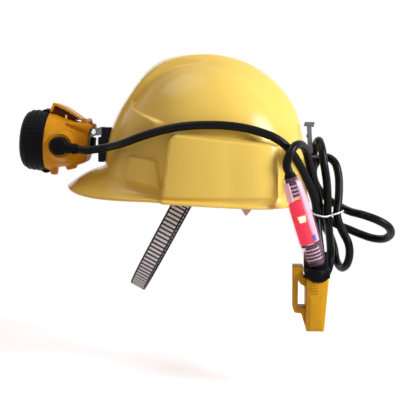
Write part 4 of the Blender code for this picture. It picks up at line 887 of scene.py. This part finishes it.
# %% Housing
# Each ring: x, half width, half height, the height of its middle, and its squareness.
HOUSING_RINGS = [(-53.1, 33, 33, LAMP_Z, 2), (-47.4, 32.6, 32.6, LAMP_Z, 2),
                 (-41.4, 30.2, 30.4, -14.8, 2.1), (-35.4, 27.5, 28.5, -15.0, 2.3),
                 (-26.4, 25.5, 27, -15.2, 2.5), (-15, 23.5, 24, -14.8, 2.8),
                 (-8, 22, 21.5, -13.6, 3), (-6, 20.6, 20.1, -13.4, 3), (-5.5, 18.5, 18, -13.4, 3)]
BOSS_R, BOSS_SPREAD, COLLAR_RISE = 13.2, 5.6, 1.0
CREASE_R, CREASE_RISE = 19.4, 0.8   # a faint raised line round each boss
BOSS_Y = (-33.4, 32.4)          # faces of the gland's and the switch's bosses


def housing_grid(rows=110, columns=220):
    """Superellipse rings |y/a|^p + |z/b|^p = 1, their numbers read off a smooth curve along x."""
    rings = smooth_curve(HOUSING_RINGS, rows)
    x, half_y, half_z, middle, power = (rings[:, k:k + 1] for k in range(5))
    a = full_turn(columns)
    y = half_y * squarish(np.cos(a), 2 / power)
    z = middle + half_z * squarish(np.sin(a), 2 / power)
    away = np.hypot(x - GLAND_X, z - GLAND_Z)
    share = 1 - ease((away - BOSS_R) / BOSS_SPREAD)
    collar = COLLAR_RISE * np.exp(-((away - BOSS_R - 0.4) / 1.3) ** 2)
    face = np.where(y < 0, BOSS_Y[0] - collar, BOSS_Y[1])
    flank = ease((np.abs(y) - 8) / 8)
    y = y + (face - y) * share * flank
    crease = CREASE_RISE * np.exp(-(away - CREASE_R) ** 2) * flank * ease((z + 30) / 12)
    return in_place(joined(x, y + np.sign(y) * crease, z))


# %% Wedges, lugs and ears
HINGE_CONE = [(-31, -19.5, 7.5), (-20, -19.0, 5.5), (-9, -17.6, 3.6), (-4.2, -16.8, 2.6)]
CONE_STEPS = 40


def hinge_cone_grid(side):
    """A wedge that rises to the hinge: a circle that grows along its path."""
    path = smooth_curve([(x, side * -y, z) for x, y, z in HINGE_CONE], CONE_STEPS)
    share = np.linspace(0, 1, CONE_STEPS)
    radius = np.interp(share, [0, 0.1, 0.85, 0.97, 1], [0.6, 2.4, 6.2, 6.2, 5.2])
    return in_place(tube_grid(path, radius, 36))


LUGS = [([(-50, -40), (-47.6, -53), (-41.2, -53.2), (-40.4, -40)], (-5.5, 5.5)),
        ([(-31, -36), (-30, -45), (-27.5, -46.4), (-20, -43.8), (-17, -34)], (-7, 7))]
EAR = [(-16, 3), (-14.6, 13.5), (-12.5, 14.9), (-9.0, 14.5), (-7.4, 11.5), (-7.4, 2)]
housing_parts = [capped(housing_grid())]
housing_parts += [capped(lug_grid(outline, along)) for outline, along in LUGS]
housing_parts += [capped(lug_grid(EAR, along)) for along in ((-17.5, -14.6), (14.6, 17.5))]
housing_parts += [capped(hinge_cone_grid(side)) for side in (-1, 1)]
new_piece("housing", housing_parts, "lamp_yellow", "headpiece", "lamp_housing", sharp=45)

# %% [markdown]
# ## Hood, hinge, hook and bracket
# These solids already have the right shape, so each is copied, its facets are merged and its
# edges are rounded with a Bevel: moulded and pressed edges are never knife-sharp, and the small
# radius is what catches the light.

# %% Pieces with rounded edges
# Node, slot, body and the radius of its edges; where a colour differs from the slot's, that too.
REFINED = [("contact_cover", "lamp_yellow", "contact_cover", 0.5),
           ("lamp_bracket", "black_plastic", "cap", 0.6),
           ("lamp_hook", "steel", "cap", 0.25),
           ("hinge_plate", "steel", "headpiece", 0.25),
           ("cord_gland", "black_rubber", "headpiece", 0.4),
           ("switch_collar", "black_plastic", "headpiece", 0.3),
           ("switch_button", "black_rubber", "switch_button", 0.4),
           ("bezel_screw", "steel", "headpiece", 0.2),
           ("hinge_screw_1", "steel", "headpiece", 0.2),
           ("hinge_screw_2", "steel", "headpiece", 0.2),
           ("cover_hinge_pin", "steel", "headpiece", 0.2),
           ("tilt_pin", "chrome", "cap", 0.2),
           ("charge_contact_1", "brass", "headpiece", 0.2),
           ("charge_contact_2", "brass", "headpiece", 0.2),
           ("clip_rivet_1", "steel", "cap", 0.0),
           ("clip_rivet_2", "steel", "cap", 0.0),
           ("battery_case", "lamp_yellow", "cap", 0.0, "battery_gold"),
           ("battery_cap", "black_rubber", "cap", 0.5),
           ("belt_loop", "lamp_yellow", "cap", 0.0, "battery_gold"),
           ("headband", "band_white", "cap", 0.3),
           ("nape_band", "band_white", "cap", 0.3),
           ("nape_stud_1", "black_plastic", "cap", 0.2),
           ("nape_stud_2", "black_plastic", "cap", 0.2),
           ("chin_anchor_near", "black_plastic", "cap", 0.0),
           ("chin_anchor_far", "black_plastic", "cap", 0.0)]
REFINED += [(f"suspension_key_{k}", "band_white", "cap", 0.0) for k in (1, 2, 3, 4)]
for row in REFINED:
    refined(*row)

# %% [markdown]
# ## The battery's ribs and panel
# Four short grip ribs stand under the battery's cap on the near face, and a shallow panel is
# raised below them. Both are rounded plates set a little into the case, which is simpler than
# cutting its solid, and both are measured from the case's own box.

# %% Ribs and panel
case_low, case_high = (np.array(corner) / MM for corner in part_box("battery_case"))
near_face = case_low[1]
GRIP_X, GRIP_FIRST_Z, GRIP_STEP, GRIP_HALF, GRIP_PROUD = (-7.6, 1.6), -6.2, 2.6, 0.75, 0.9
PANEL_PROUD, PANEL_ABOVE, PANEL_BELOW, PANEL_LEFT, PANEL_RIGHT = 0.6, 18, 3, 3.6, 6.2


def grip_rib_grid(z):
    """A bar along x at height z on the near face."""
    middle = (case_low[0] + case_high[0]) / 2
    out, root = near_face - GRIP_PROUD, near_face + 0.5
    outline = rounded([(out, z - GRIP_HALF), (out, z + GRIP_HALF),
                       (root, z + GRIP_HALF), (root, z - GRIP_HALF)], 0.4, closed=True)
    return plate_grid(outline, [middle + x for x in GRIP_X], "x", 0.3)


rib_heights = [case_high[2] + GRIP_FIRST_Z - k * GRIP_STEP for k in range(4)]
new_piece("battery_ribs", [capped(grip_rib_grid(z)) for z in rib_heights], "lamp_yellow", "cap",
          finish="battery_gold")
panel_left, panel_right = case_low[0] + PANEL_LEFT, case_high[0] - PANEL_RIGHT
panel_foot, panel_head = case_low[2] + PANEL_BELOW, case_high[2] - PANEL_ABOVE
panel = rounded([(panel_foot, panel_left), (panel_head, panel_left),
                 (panel_head, panel_right), (panel_foot, panel_right)], 0.8, closed=True)
panel_grid = plate_grid(panel, (near_face - PANEL_PROUD, near_face + 0.4), "y", 0.35)
new_piece("battery_panel", [capped(panel_grid)], "lamp_yellow", "cap", finish="battery_gold")

# %% [markdown]
# ## Painted shade under the hood, stop pad and spring
# Under the hood a dark brown piece fills the space over the two charge contacts, and it swings with the hood: it
# is painted shade, a dark sheet where the hood's underside lies in shadow. A rubber pad behind the hinge plate
# meets the bracket where the lamp's downward tilt ends. A coil spring round the tilt pin gives the hinge its
# friction. The brown piece and the pad are outlines carried across the lamp, and the spring is a tube along a
# helix.

# %% Painted shade under the cover
HOOD_SHADE_FILL = [(-47.8, 25.0), (-40, 22.4), (-32, 18.6), (-27, 16.3), (-22, 13.9), (-21, 11.6),
             (-28, 12.4), (-34, 13.8), (-41, 15.9), (-47.2, 17.6), (-53.2, 18.1), (-53.2, 19.6),
             (-49.5, 20.6)]
# This dark brown piece under the hood is painted shade where the hood's underside lies in shadow.
new_piece("hood_shade_fill", [flat_ended(lug_grid(HOOD_SHADE_FILL, (-8.6, 8.6), 0.6))], "black_rubber",
          "contact_cover", finish="painted_shade_brown")

# %% Stop pad
PLATE_PAD = [(-4.0, -6.2), (0.3, -6.8), (0.3, -19.5), (-4.0, -21)]
new_piece("hinge_pad", [capped(lug_grid(PLATE_PAD, (-7, 7), 0.5))], "black_rubber", "headpiece")

# %% Tilt spring
SPRING_TURNS, SPRING_R, SPRING_WIRE, SPRING_PITCH = 5, 3.3, 1.0, 2.4


def spring_path():
    """A helix about the tilt pin: x and z go round while y climbs evenly."""
    a = np.linspace(0, SPRING_TURNS * 2 * pi, 240)
    length = SPRING_TURNS * SPRING_PITCH
    x, y, z = SPRING_R * np.cos(a), length * (a / a[-1] - 0.5), SPRING_R * np.sin(a)
    return np.column_stack([x, y, z]) + TILT_PIN


new_piece("hinge_spring", [capped(tube_grid(spring_path(), SPRING_WIRE / 2, 10))], "steel", "cap",
          "tilt_spring")

# %% [markdown]
# ## The webbing
# The chin strap is narrow ladder webbing: black selvedges and bars of white yarn, each a little
# proud. The section of a strap is carried along its path, and each point remembers how far along
# and how far across it lies in a UV map, so that the bars follow the strap round its bend.

# %% Strap surfaces


def strap_grid(path, across, width, thick, bar_pitch=0.0):
    """A flat oval section carried along a path; bars swell it by a wave along the path."""
    tangent = unit(np.gradient(path, axis=0))
    normal = unit(np.cross(tangent, across))
    middle = len(path) // 2
    if normal[middle] @ (path[middle] - path.mean(axis=0)) < 0:
        normal = -normal
    a = full_turn(20)
    wide, deep = width / 2 * squarish(np.cos(a), 0.35), thick / 2 * squarish(np.sin(a), 0.7)
    along = length_along(path)
    swell = np.ones(len(path))
    if bar_pitch:
        swell = 0.82 + 0.26 * ease(0.5 + 1.1 * np.cos(2 * pi * along / bar_pitch))
    grid = (path[:, None] + wide[:, None] * across
            + (thick / 2 + deep[:, None] * swell[:, None, None]) * normal[:, None])
    return grid, joined(along[:, None], wide)


def new_strap(name, path, across, width, thick, finish, node, bar_pitch=0.0):
    grid, flow = strap_grid(path, across, width, thick, bar_pitch)
    points, faces = capped(grid)
    flow = np.concatenate([flow[:1], flow, flow[-1:]]).reshape(-1, 2)
    new_piece(name, [(points, faces)], "strap_white", "cap", node, finish=finish, uv=flow[faces],
              sharp=50)


# %% Paths of the straps
CHIN_X, CHIN_Z, CHIN_LEAN, CHIN_WIDTH, CHIN_THICK = -22, 4, radians(28.5), 18, 1.6
CHIN_HALF = [(82, 3), (81, 28), (77, 56), (68, 82), (50, 103), (26, 113)]   # (sideways, down)
CHIN_LOWEST = (0, 116.5)
BAND_RADIUS, BAND_STRAIGHT, BAND_THICK = 78, 36, 1.8
STRAP_AZIMUTH, STRAP_WIDTH, STRAP_THICK, STRAP_APEX_Z = radians(35), 20, 1.2, 122
STRAP_CROSSING = 2.8            # how much higher the second strap passes over the first


def chin_path():
    """Down one side, under the chin and up the other, in a plane that leans forwards."""
    down = np.array([-sin(CHIN_LEAN), 0, -cos(CHIN_LEAN)])
    course = smooth_curve([(-y, d) for y, d in CHIN_HALF] + [CHIN_LOWEST] + CHIN_HALF[::-1], 560)
    return np.array([CHIN_X, 0, CHIN_Z]) + course[:, :1] * (0, 1, 0) + course[:, 1:] * down


def band_plan(offset, angle):
    """The headband's plan, two half rings and the straight stretch between, grown by offset."""
    shift = BAND_STRAIGHT / 2 * np.clip(np.cos(angle) * 4, -1, 1)
    r = BAND_RADIUS + offset
    return shift + r * np.cos(angle), r * np.sin(angle)


def band_reach(azimuth):
    """Reach of the headband's outer face in one direction."""
    x, y = band_plan(BAND_THICK, np.linspace(0, 2 * pi, 721))
    return float(np.hypot(x, y)[np.abs(np.arctan2(y, x) - azimuth).argmin()])


def crown_path(azimuth, apex):
    """From the headband up over the crown and down again, in one upright plane."""
    reach = band_reach(abs(azimuth)) + STRAP_THICK
    half = [(reach, 12), (reach + 0.3, 30), (reach - 3, 56), (reach - 16, 86), (reach - 42, 110),
            (0, apex)]
    course = smooth_curve(half + [(-r, z) for r, z in half[-2::-1]], 240)
    out, z = course.T
    return np.column_stack([out * cos(azimuth), out * sin(azimuth), z])


# %% Woven tape
YARN_PALE, YARN_SHADE = (0.86, 0.83, 0.82, 1), (0.62, 0.585, 0.57, 1)
YARN_BLACK = (0.008, 0.008, 0.009, 1)
BAR_PITCH, BAR_SHARE, BAR_HALF = 4.7, 0.56, 7.0     # bars: spacing, share that is white, half length


def stripe(tree, value, pitch, share):
    """1 within share of every pitch and 0 between, with soft edges."""
    phase = arithmetic(tree, "FRACT", arithmetic(tree, "DIVIDE", value, pitch))
    away = arithmetic(tree, "ABSOLUTE", arithmetic(tree, "SUBTRACT", phase, 0.5))
    return soft_range(tree, away, share / 2 - 0.06, share / 2 + 0.06, 1.0, 0.0)


def webbing(name, bars):
    """Woven tape: fine yarn across and along; with bars, white yarn on a black ground."""
    mat, tree = new_material(name)
    flow = add(tree, "ShaderNodeUVMap", {"uv_map": "flow"}).outputs[0]
    along, across, _ = add(tree, "ShaderNodeSeparateXYZ", Vector=flow).outputs
    yarns = arithmetic(tree, "ADD", stripe(tree, across, 0.9, 0.6), stripe(tree, along, 0.8, 0.6))
    weave = arithmetic(tree, "MULTIPLY", yarns, 0.5)
    # Between the yarns the tape is darker, YARN_SHADE against YARN_PALE: painted shade.
    colour = mixed(tree, weave, YARN_SHADE, YARN_PALE)
    if bars:
        away = arithmetic(tree, "ABSOLUTE", across)
        inside = soft_range(tree, away, BAR_HALF - 0.2, BAR_HALF + 0.2, 1.0, 0.0)
        bar = stripe(tree, arithmetic(tree, "ADD", along, BAR_PITCH / 2), BAR_PITCH, BAR_SHARE)
        colour = mixed(tree, arithmetic(tree, "MULTIPLY", bar, inside), YARN_BLACK, colour)
    relief = add(tree, "ShaderNodeBump", Height=weave, Strength=0.5, Distance=0.0003)
    rough = add(tree, "ShaderNodeMapRange", Value=weave, To_Min=0.9, To_Max=0.72)
    sockets = {"Base_Color": colour, "Normal": relief.outputs[0], "Roughness": rough.outputs[0],
               "Sheen_Weight": 0.25}
    feed_named(tree, tree.nodes["Principled BSDF"], sockets)
    finishes[name] = mat


webbing("strap_white", bars=False)
webbing("ladder_webbing", bars=True)

# %% Chin strap and crown straps
lean_across = np.array([cos(CHIN_LEAN), 0, -sin(CHIN_LEAN)])
new_strap("chin_webbing", chin_path(), lean_across, CHIN_WIDTH, CHIN_THICK, "ladder_webbing",
          "chin_strap", BAR_PITCH)
for k, sign in enumerate((-1, 1)):
    azimuth = sign * STRAP_AZIMUTH
    sideways = np.array([-sin(azimuth), cos(azimuth), 0])
    over_crown = crown_path(azimuth, STRAP_APEX_Z + k * STRAP_CROSSING)
    new_strap(f"crown_webbing_{k + 1}", over_crown, sideways, STRAP_WIDTH, STRAP_THICK,
              "strap_white", f"crown_strap_{k + 1}")

# %% [markdown]
# ## The cable's clip
# A steel strip on the cap's rear keeps the cable off the wearer's neck: a thumb head above, a
# thick stem, and a hook in which the loops hang. One bent outline would have hollows in it, so
# the head and the stem are two plates, and the hook is a flat section carried along a curve.

# %% Head, stem and hook
CLIP_HEAD = [(110.2, 85.0), (111.6, 89.7), (122.4, 89.5), (121.2, 83.8)]
CLIP_STEM = [(113.8, 85), (118.8, 85), (120.4, 55), (115.4, 55)]
CLIP_HOOK = [(113.2, 65), (113.6, 60), (115.4, 55.4), (119, 53), (124, 52.6), (129, 54.2), (132.6, 58)]
HOOK_THICK, HOOK_NARROWER = 2.8, 0.4
clip_low, clip_high = (corner[1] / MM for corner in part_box("cord_clip"))
clip_parts = [capped(side_plate(corners, (clip_low, clip_high), 0.9, 0.5))
              for corners in (CLIP_HEAD, CLIP_STEM)]
hook_line = smooth_curve([(x, (clip_low + clip_high) / 2, z) for x, z in CLIP_HOOK], 40)
hook_width = clip_high - clip_low - HOOK_NARROWER
hook_grid, _ = strap_grid(hook_line, np.array([0, 1.0, 0]), hook_width, HOOK_THICK)
new_piece("clip_strip", [*clip_parts, capped(hook_grid)], "steel", "cap", "cord_clip", sharp=50)

# %% [markdown]
# ## Sweatband and tabs
# The brow pad is foam under cloth, stitched near both edges, so it swells between the seams. It
# is worked out as a bulging section carried round the front of the headband. The side tabs are
# soft folded tape, cut to a point.

# %% Brow pad
BROW_LOW, BROW_HIGH, BROW_THICK, BROW_GAP = 6, 33, 3.2, 0.45
BROW_FROM, BROW_TO = radians(101), radians(259)
SEAM_AWAY = 10.2                # each seam's distance from the pad's mid height
QUILT_STEP = 12                 # degrees between the quilting's dimples


def brow_pad_grid(rows=150, columns=48):
    """A squarish section (cos b, sin b, each to a power below 1) carried round the front.

    Its inner face is drawn in at both seams, at every quilting dimple and towards its ends.
    """
    a = np.linspace(BROW_FROM, BROW_TO, rows)[:, None]
    b = full_turn(columns)
    middle, half = (BROW_LOW + BROW_HIGH) / 2, (BROW_HIGH - BROW_LOW) / 2
    height, depth = middle + half * squarish(np.sin(b), 0.6), squarish(np.cos(b), 0.55)
    seam = 1 - 0.5 * np.exp(-((np.abs(height - middle) - SEAM_AWAY) / 1.1) ** 2)
    quilt = 1 - 0.22 * np.exp(-((np.degrees(a) % QUILT_STEP - QUILT_STEP / 2) / 1.3) ** 2)
    ends = np.sqrt(np.clip(np.minimum(a - a[0], a[-1] - a) / radians(2.5), 0.02, 1))
    swell = depth * np.where(depth > 0, seam * quilt * ends, 0.95)
    x, y = band_plan(-BROW_GAP - BROW_THICK / 2 * (1 + swell), a)
    return joined(x, y, height)


brow_pad = new_piece("brow_pad", [capped(brow_pad_grid())], "foam_grey", "cap", "sweatband", sharp=70)

# %% Side tabs
TAB = [(34, 14), (52, 14), (57, 2), (47, -10), (39, 2)]
TAB_FACE, TAB_BACK = 1.25, 2.85     # distances of its two faces from the headband


def tab_grid(side):
    """The tab's pointed outline as a plate beside the headband."""
    band = BAND_RADIUS + BAND_THICK
    along = sorted((side * (band + TAB_FACE), side * (band + TAB_BACK)))
    return side_plate(TAB, along, 1.6, 0.5)


for node, side in (("headband_tab_near", -1), ("headband_tab_far", 1)):
    new_piece(f"{node}_cloth", [capped(tab_grid(side))], "tab_pink", "cap", node)

# %% [markdown]
# ## Lens and light engine
# A parabola sends a lamp's light forwards, so the reflector is one: its depth grows with the
# square of its radius. The lens is a shallow moulded dome.

# %% Lamp front
MOUTH_X, MOUTH_R, BASE_R, BASE_X = -73.7, 23.6, 5, -54.5


def reflector_grid():
    """A parabola x = base - (r^2 - base r^2) / curve, its back, and a flange, turned."""
    radii = np.linspace(MOUTH_R, BASE_R, 40)
    curve = (MOUTH_R ** 2 - BASE_R ** 2) / (BASE_X - MOUTH_X)
    bowl = np.column_stack([BASE_X - (radii ** 2 - BASE_R ** 2) / curve, radii])
    back = (bowl + (1.2, 0.72))[::-1][:-2]
    flange = np.array([(-68.85, 24.8), (-68.85, COLLAR_R), (-70.5, COLLAR_R), (-70.5, 25.6),
                       (MOUTH_X, 25.6)])
    return in_place(turned_grid(np.concatenate([bowl, back, flange]), "x", (0, 0, LAMP_Z), 96))


def lens_grid():
    """The lens's front, rim and back as one profile (along, radius), turned."""
    face = smooth_curve([(-81.8, 0.01), (-81.7, 4), (-81.3, 9), (-80.3, 15), (-79.2, 20.6)], 30)
    rim = rounded([(-79.2, 20.6), (-78.7, 21.5), (-78.7, LENS_R), (-76.1, LENS_R), (-76.1, 23.0)], 0.3)
    back = smooth_curve([(-76.3, 22.4), (-77.7, 15), (-79.1, 8), (-79.5, 0.01)], 30)
    return in_place(turned_grid(np.concatenate([face, rim[1:], back]), "x", (0, 0, LAMP_Z), 96))


new_piece("mirror_bowl", [loop_grid(reflector_grid())], "chrome", "headpiece", "reflector", sharp=60)
new_piece("lamp_lens", [plain_grid(lens_grid())], "clear_plastic", "headpiece", "lens",
          finish="lens_plastic")

# %% [markdown]
# ## The rear warning light
# A clear tube in the cable's end holds a red core with its diode, and a ribbed gland grips the cable inside the
# tube's mouth. All of it is round, so nearly every piece is a profile turned about one leaning axis. The core
# glows in the picture, so it is given light of its own. The clear plastic beside it and the threads are pale
# pieces that glow a little too: painted light, for the sheen of the clear tube and the light seen through it.

# %% Frame of the warning light
tail_middle = (TAIL_TOP + TAIL_BOTTOM) / 2
tail_half = float(np.linalg.norm(TAIL_TOP - TAIL_BOTTOM)) / 2
SQUARE_TO = np.array([1.0, 0.06, 0])    # the diode looks out square to this
tail_right = unit(SQUARE_TO - tail_axis * (SQUARE_TO @ tail_axis))
tail_back = np.cross(tail_axis, tail_right)     # away from the near side


def on_tail(points):
    """Points (right, back, up) about the light's middle, leaned over with its axis."""
    return tail_middle + np.asarray(points, float) @ np.array([tail_right, tail_back, tail_axis])


def tail_turned(profile, sides=64):
    return on_tail(turned_grid(profile, "z", (0, 0, 0), sides))


# %% Tube and ribbed gland
# Profiles from here on are (up, radius) about the light's middle.
TUBE_WALL = 1.6
RIB_PITCH, RIB_LOW_R, RIB_HIGH_R = 4, 5.3, 6.6
TUBE = [(-tail_half, 9.0), (-42, 10.8), (-32, 12.0), (-8, 12.4), (14, 12.3), (28, 11.9),
        (38, 11.2), (44, 10.4), (tail_half, 9.0)]


def tube_profile():
    """The tube's outside, and its inside one wall's thickness in."""
    outside = smooth_curve(TUBE, 60)
    inside = (outside - (0, TUBE_WALL))[::-1]
    return np.concatenate([outside, inside])


def ribbed_profile():
    """The gland's ribs: the radius steps between 5.3 and 6.6 every 4 mm, with soft shoulders."""
    z = np.linspace(tail_half + 4, tail_half - 21, 150)
    wave = ease(0.5 + 1.6 * np.sin((z - tail_half) * 2 * pi / RIB_PITCH))
    radius = np.where(z > tail_half - 6, 6.4, RIB_LOW_R + (RIB_HIGH_R - RIB_LOW_R) * wave)
    radius[z > tail_half + 1] = 5.2 + 0.35 * (tail_half + 4 - z[z > tail_half + 1])
    return np.column_stack([z, radius])


new_piece("tail_clear_tube", [loop_grid(tail_turned(tube_profile()))], "clear_plastic", "cap",
          "tail_tube", sharp=60)
new_piece("tail_ribbed_gland", [capped(tail_turned(ribbed_profile(), 40))], "black_rubber", "cap",
          "tail_gland_top", sharp=60)

# %% Core
CORE_SHIFT = -1.3               # the core lies against the tube's left side
CORE_R = 9.4
CORE = rounded([(-24, 5), (-24, 8.8), (-22, CORE_R), (14, CORE_R), (21, 8.8), (22.8, 6)], 1.2)
core_grid = on_tail(turned_grid(CORE, "z", (CORE_SHIFT, 0, 0)))
new_piece("tail_core", [capped(core_grid)], "red_plastic", "cap", "tail_lamp_core", sharp=60)

# %% Painted light in the tube
# The tube's milky pink sides are painted light: pale crescents that glow stand in for the sheen of the clear wall
# and the light seen through it.
GLOW_HALF_ANGLE = radians(58)
GLOW_FOOT, GLOW_HEAD = -23, 43
CORE_HEAD = 23                  # above it the glow may reach farther in
OUTER_HEIGHTS, OUTER_RADII = [-23, -8, 14, 28, 38, 44], [10.2, 10.6, 10.5, 10.1, 9.4, 8.6]


def painted_light_grid(low, high, side, rows=60, steps=14):
    """A pale crescent of painted light between the core and the tube's side, carried along the light.

    Its outer arc is about the tube's axis, and its inner arc, beside the core, about the core's.
    """
    z = np.linspace(low, high, rows)[:, None]
    outer = np.interp(z, OUTER_HEIGHTS, OUTER_RADII)
    inner = np.where(z < CORE_HEAD, CORE_R + 0.2, RIB_HIGH_R + 0.2)
    shift = np.where(z < CORE_HEAD, CORE_SHIFT, 0)
    a = GLOW_HALF_ANGLE * np.linspace(-1, 1, steps)
    out = joined(side * outer * np.cos(a), outer * np.sin(a), z)
    back = joined(side * (shift + inner * np.cos(a)), inner * np.sin(a), z)
    return on_tail(np.concatenate([out, back[:, ::-1]], axis=1))


right_painted_light, left_painted_light = painted_light_grid(GLOW_FOOT, GLOW_HEAD, 1), painted_light_grid(CORE_HEAD + 0.5, GLOW_HEAD, -1)
new_piece("tail_side_painted_light", [flat_ended(right_painted_light), flat_ended(left_painted_light)], "clear_plastic", "cap",
          finish="painted_light_pink", sharp=50)

# %% Clear threads, pale with painted light


def band_rings(first, count, pitch, radius, width):
    """Plain rings on the light's axis: the pale threads between dark ribs, their paleness painted light."""
    rings = []
    for k in range(count):
        low, high = first - k * pitch - width / 2, first - k * pitch + width / 2
        section = rounded([(low, radius - 1.5), (low, radius), (high, radius), (high, radius - 1.5)],
                          0.3, closed=True)
        rings.append(loop_grid(tail_turned(section)))
    return rings


upper_threads = band_rings(tail_half - 9.0, 4, RIB_PITCH, 6.5, 1.7)
lower_threads = band_rings(-30.5, 4, 3.6, 8.15, 1.3)
# The threads take the same pale glow: painted light.
new_piece("tail_threads", upper_threads + lower_threads, "clear_plastic", "cap", finish="painted_light_pink")

# %% Seal and lower gland
SEAL = rounded([(-27, 7), (-27, 9.8), (-24.8, 9.9), (-24.8, 7)], 0.5, closed=True)
new_piece("tail_seal", [loop_grid(tail_turned(SEAL))], "black_rubber", "cap", "tail_seal_ring")
PLUG = rounded([(-27.6, 5.5), (-34, 8), (-40, 8.2), (-43, 6.6), (-tail_half - 2, 6.6)], 1.5)
new_piece("tail_plug", [capped(tail_turned(PLUG, 48))], "black_rubber", "cap", "tail_gland_bottom",
          sharp=60)

# %% Diode and capacitor
DIODE_Z, DIODE_HALF_WIDTH, DIODE_HALF_HEIGHT, DIODE_TAPER = 3.5, 3.9, 3.0, 0.75
CAN = rounded([(-3.4, 0.01), (-3.4, 2.1), (3.2, 2.1), (3.4, 0.01)], 0.5)
CAN_MIDDLE = (5.2, -6.9, -18.5)


def diode_grid(grow, out):
    """A rounded tablet, wider above than below, laid on the core's near face."""
    w, h = DIODE_HALF_WIDTH + grow, DIODE_HALF_HEIGHT + grow
    foot = w * DIODE_TAPER
    outline = rounded([(-w, h), (w, h), (foot, -h), (-foot, -h)], 1.2, closed=True)
    right, up, near = np.moveaxis(plate_grid(outline, (CORE_R - 0.4, out), "z", 0.25), -1, 0)
    return on_tail(joined(CORE_SHIFT + right, -near, DIODE_Z + up))


new_piece("diode_frame", [capped(diode_grid(0.9, 9.55))], "red_plastic", "cap", finish="diode_rim")
new_piece("diode", [capped(diode_grid(0.0, 9.75))], "led_white", "cap")
new_piece("capacitor", [capped(on_tail(turned_grid(CAN, "z", CAN_MIDDLE, 32)))], "board_green", "cap",
          finish="capacitor_blue")

# %% [markdown]
# ## The tie
# A plastic-covered wire holds the loops together. It goes round all the strands at the hanging
# loops' waist. A shrink-wrap modifier could find its way, but the strands' own centres give it
# more exactly: in each direction the wire lies just outside the farthest strand.

# %% Twist tie
TIE_WIRE, TIE_GAP = 1.8, 0.9
TIE_LIFT = 5.0                  # the wire sags between its two sides


def tie_path():
    """The hull of the strands: in each direction, how far out the farthest strand reaches."""
    strands = np.array([p[:2] for p in HANK if p[2] == WAIST_Z], float)
    centre = strands.mean(axis=0)
    a = full_turn(120)
    out = np.column_stack([np.cos(a), np.sin(a)])
    reach = ((strands - centre) @ out.T).max(axis=0) + CORD_D / 2 + TIE_WIRE / 2 + TIE_GAP
    ring = centre + out * reach[:, None]
    return np.column_stack([ring, WAIST_Z + TIE_LIFT * np.cos(a) ** 2])


def looped_tube(path, radius, sides=14):
    """A round section on a nearly level closed path: outwards from it, and up."""
    tangent = unit(np.roll(path, -1, axis=0) - np.roll(path, 1, axis=0))
    side = unit(np.cross(tangent, (0, 0, 1)))
    a = full_turn(sides)[:, None]
    return path[:, None] + radius * (np.cos(a) * side[:, None] + np.sin(a) * (0, 0, 1))


new_piece("loop_tie", [loop_grid(looped_tube(tie_path(), TIE_WIRE / 2))], "tie_white", "cap", "hank_tie")

# %% [markdown]
# Solids that hardly show, such as the boards and the cell, keep their own mesh and take the finish of their slot.

# %% Finish the rest
for node, ob in frame["nodes"].items():
    if not ob.hide_render:
        slot = next(s["material_slot"] for s in frame["record"]["subparts"] if s["node"] == node)
        ob.data.materials.clear()
        ob.data.materials.append(finishes[slot])
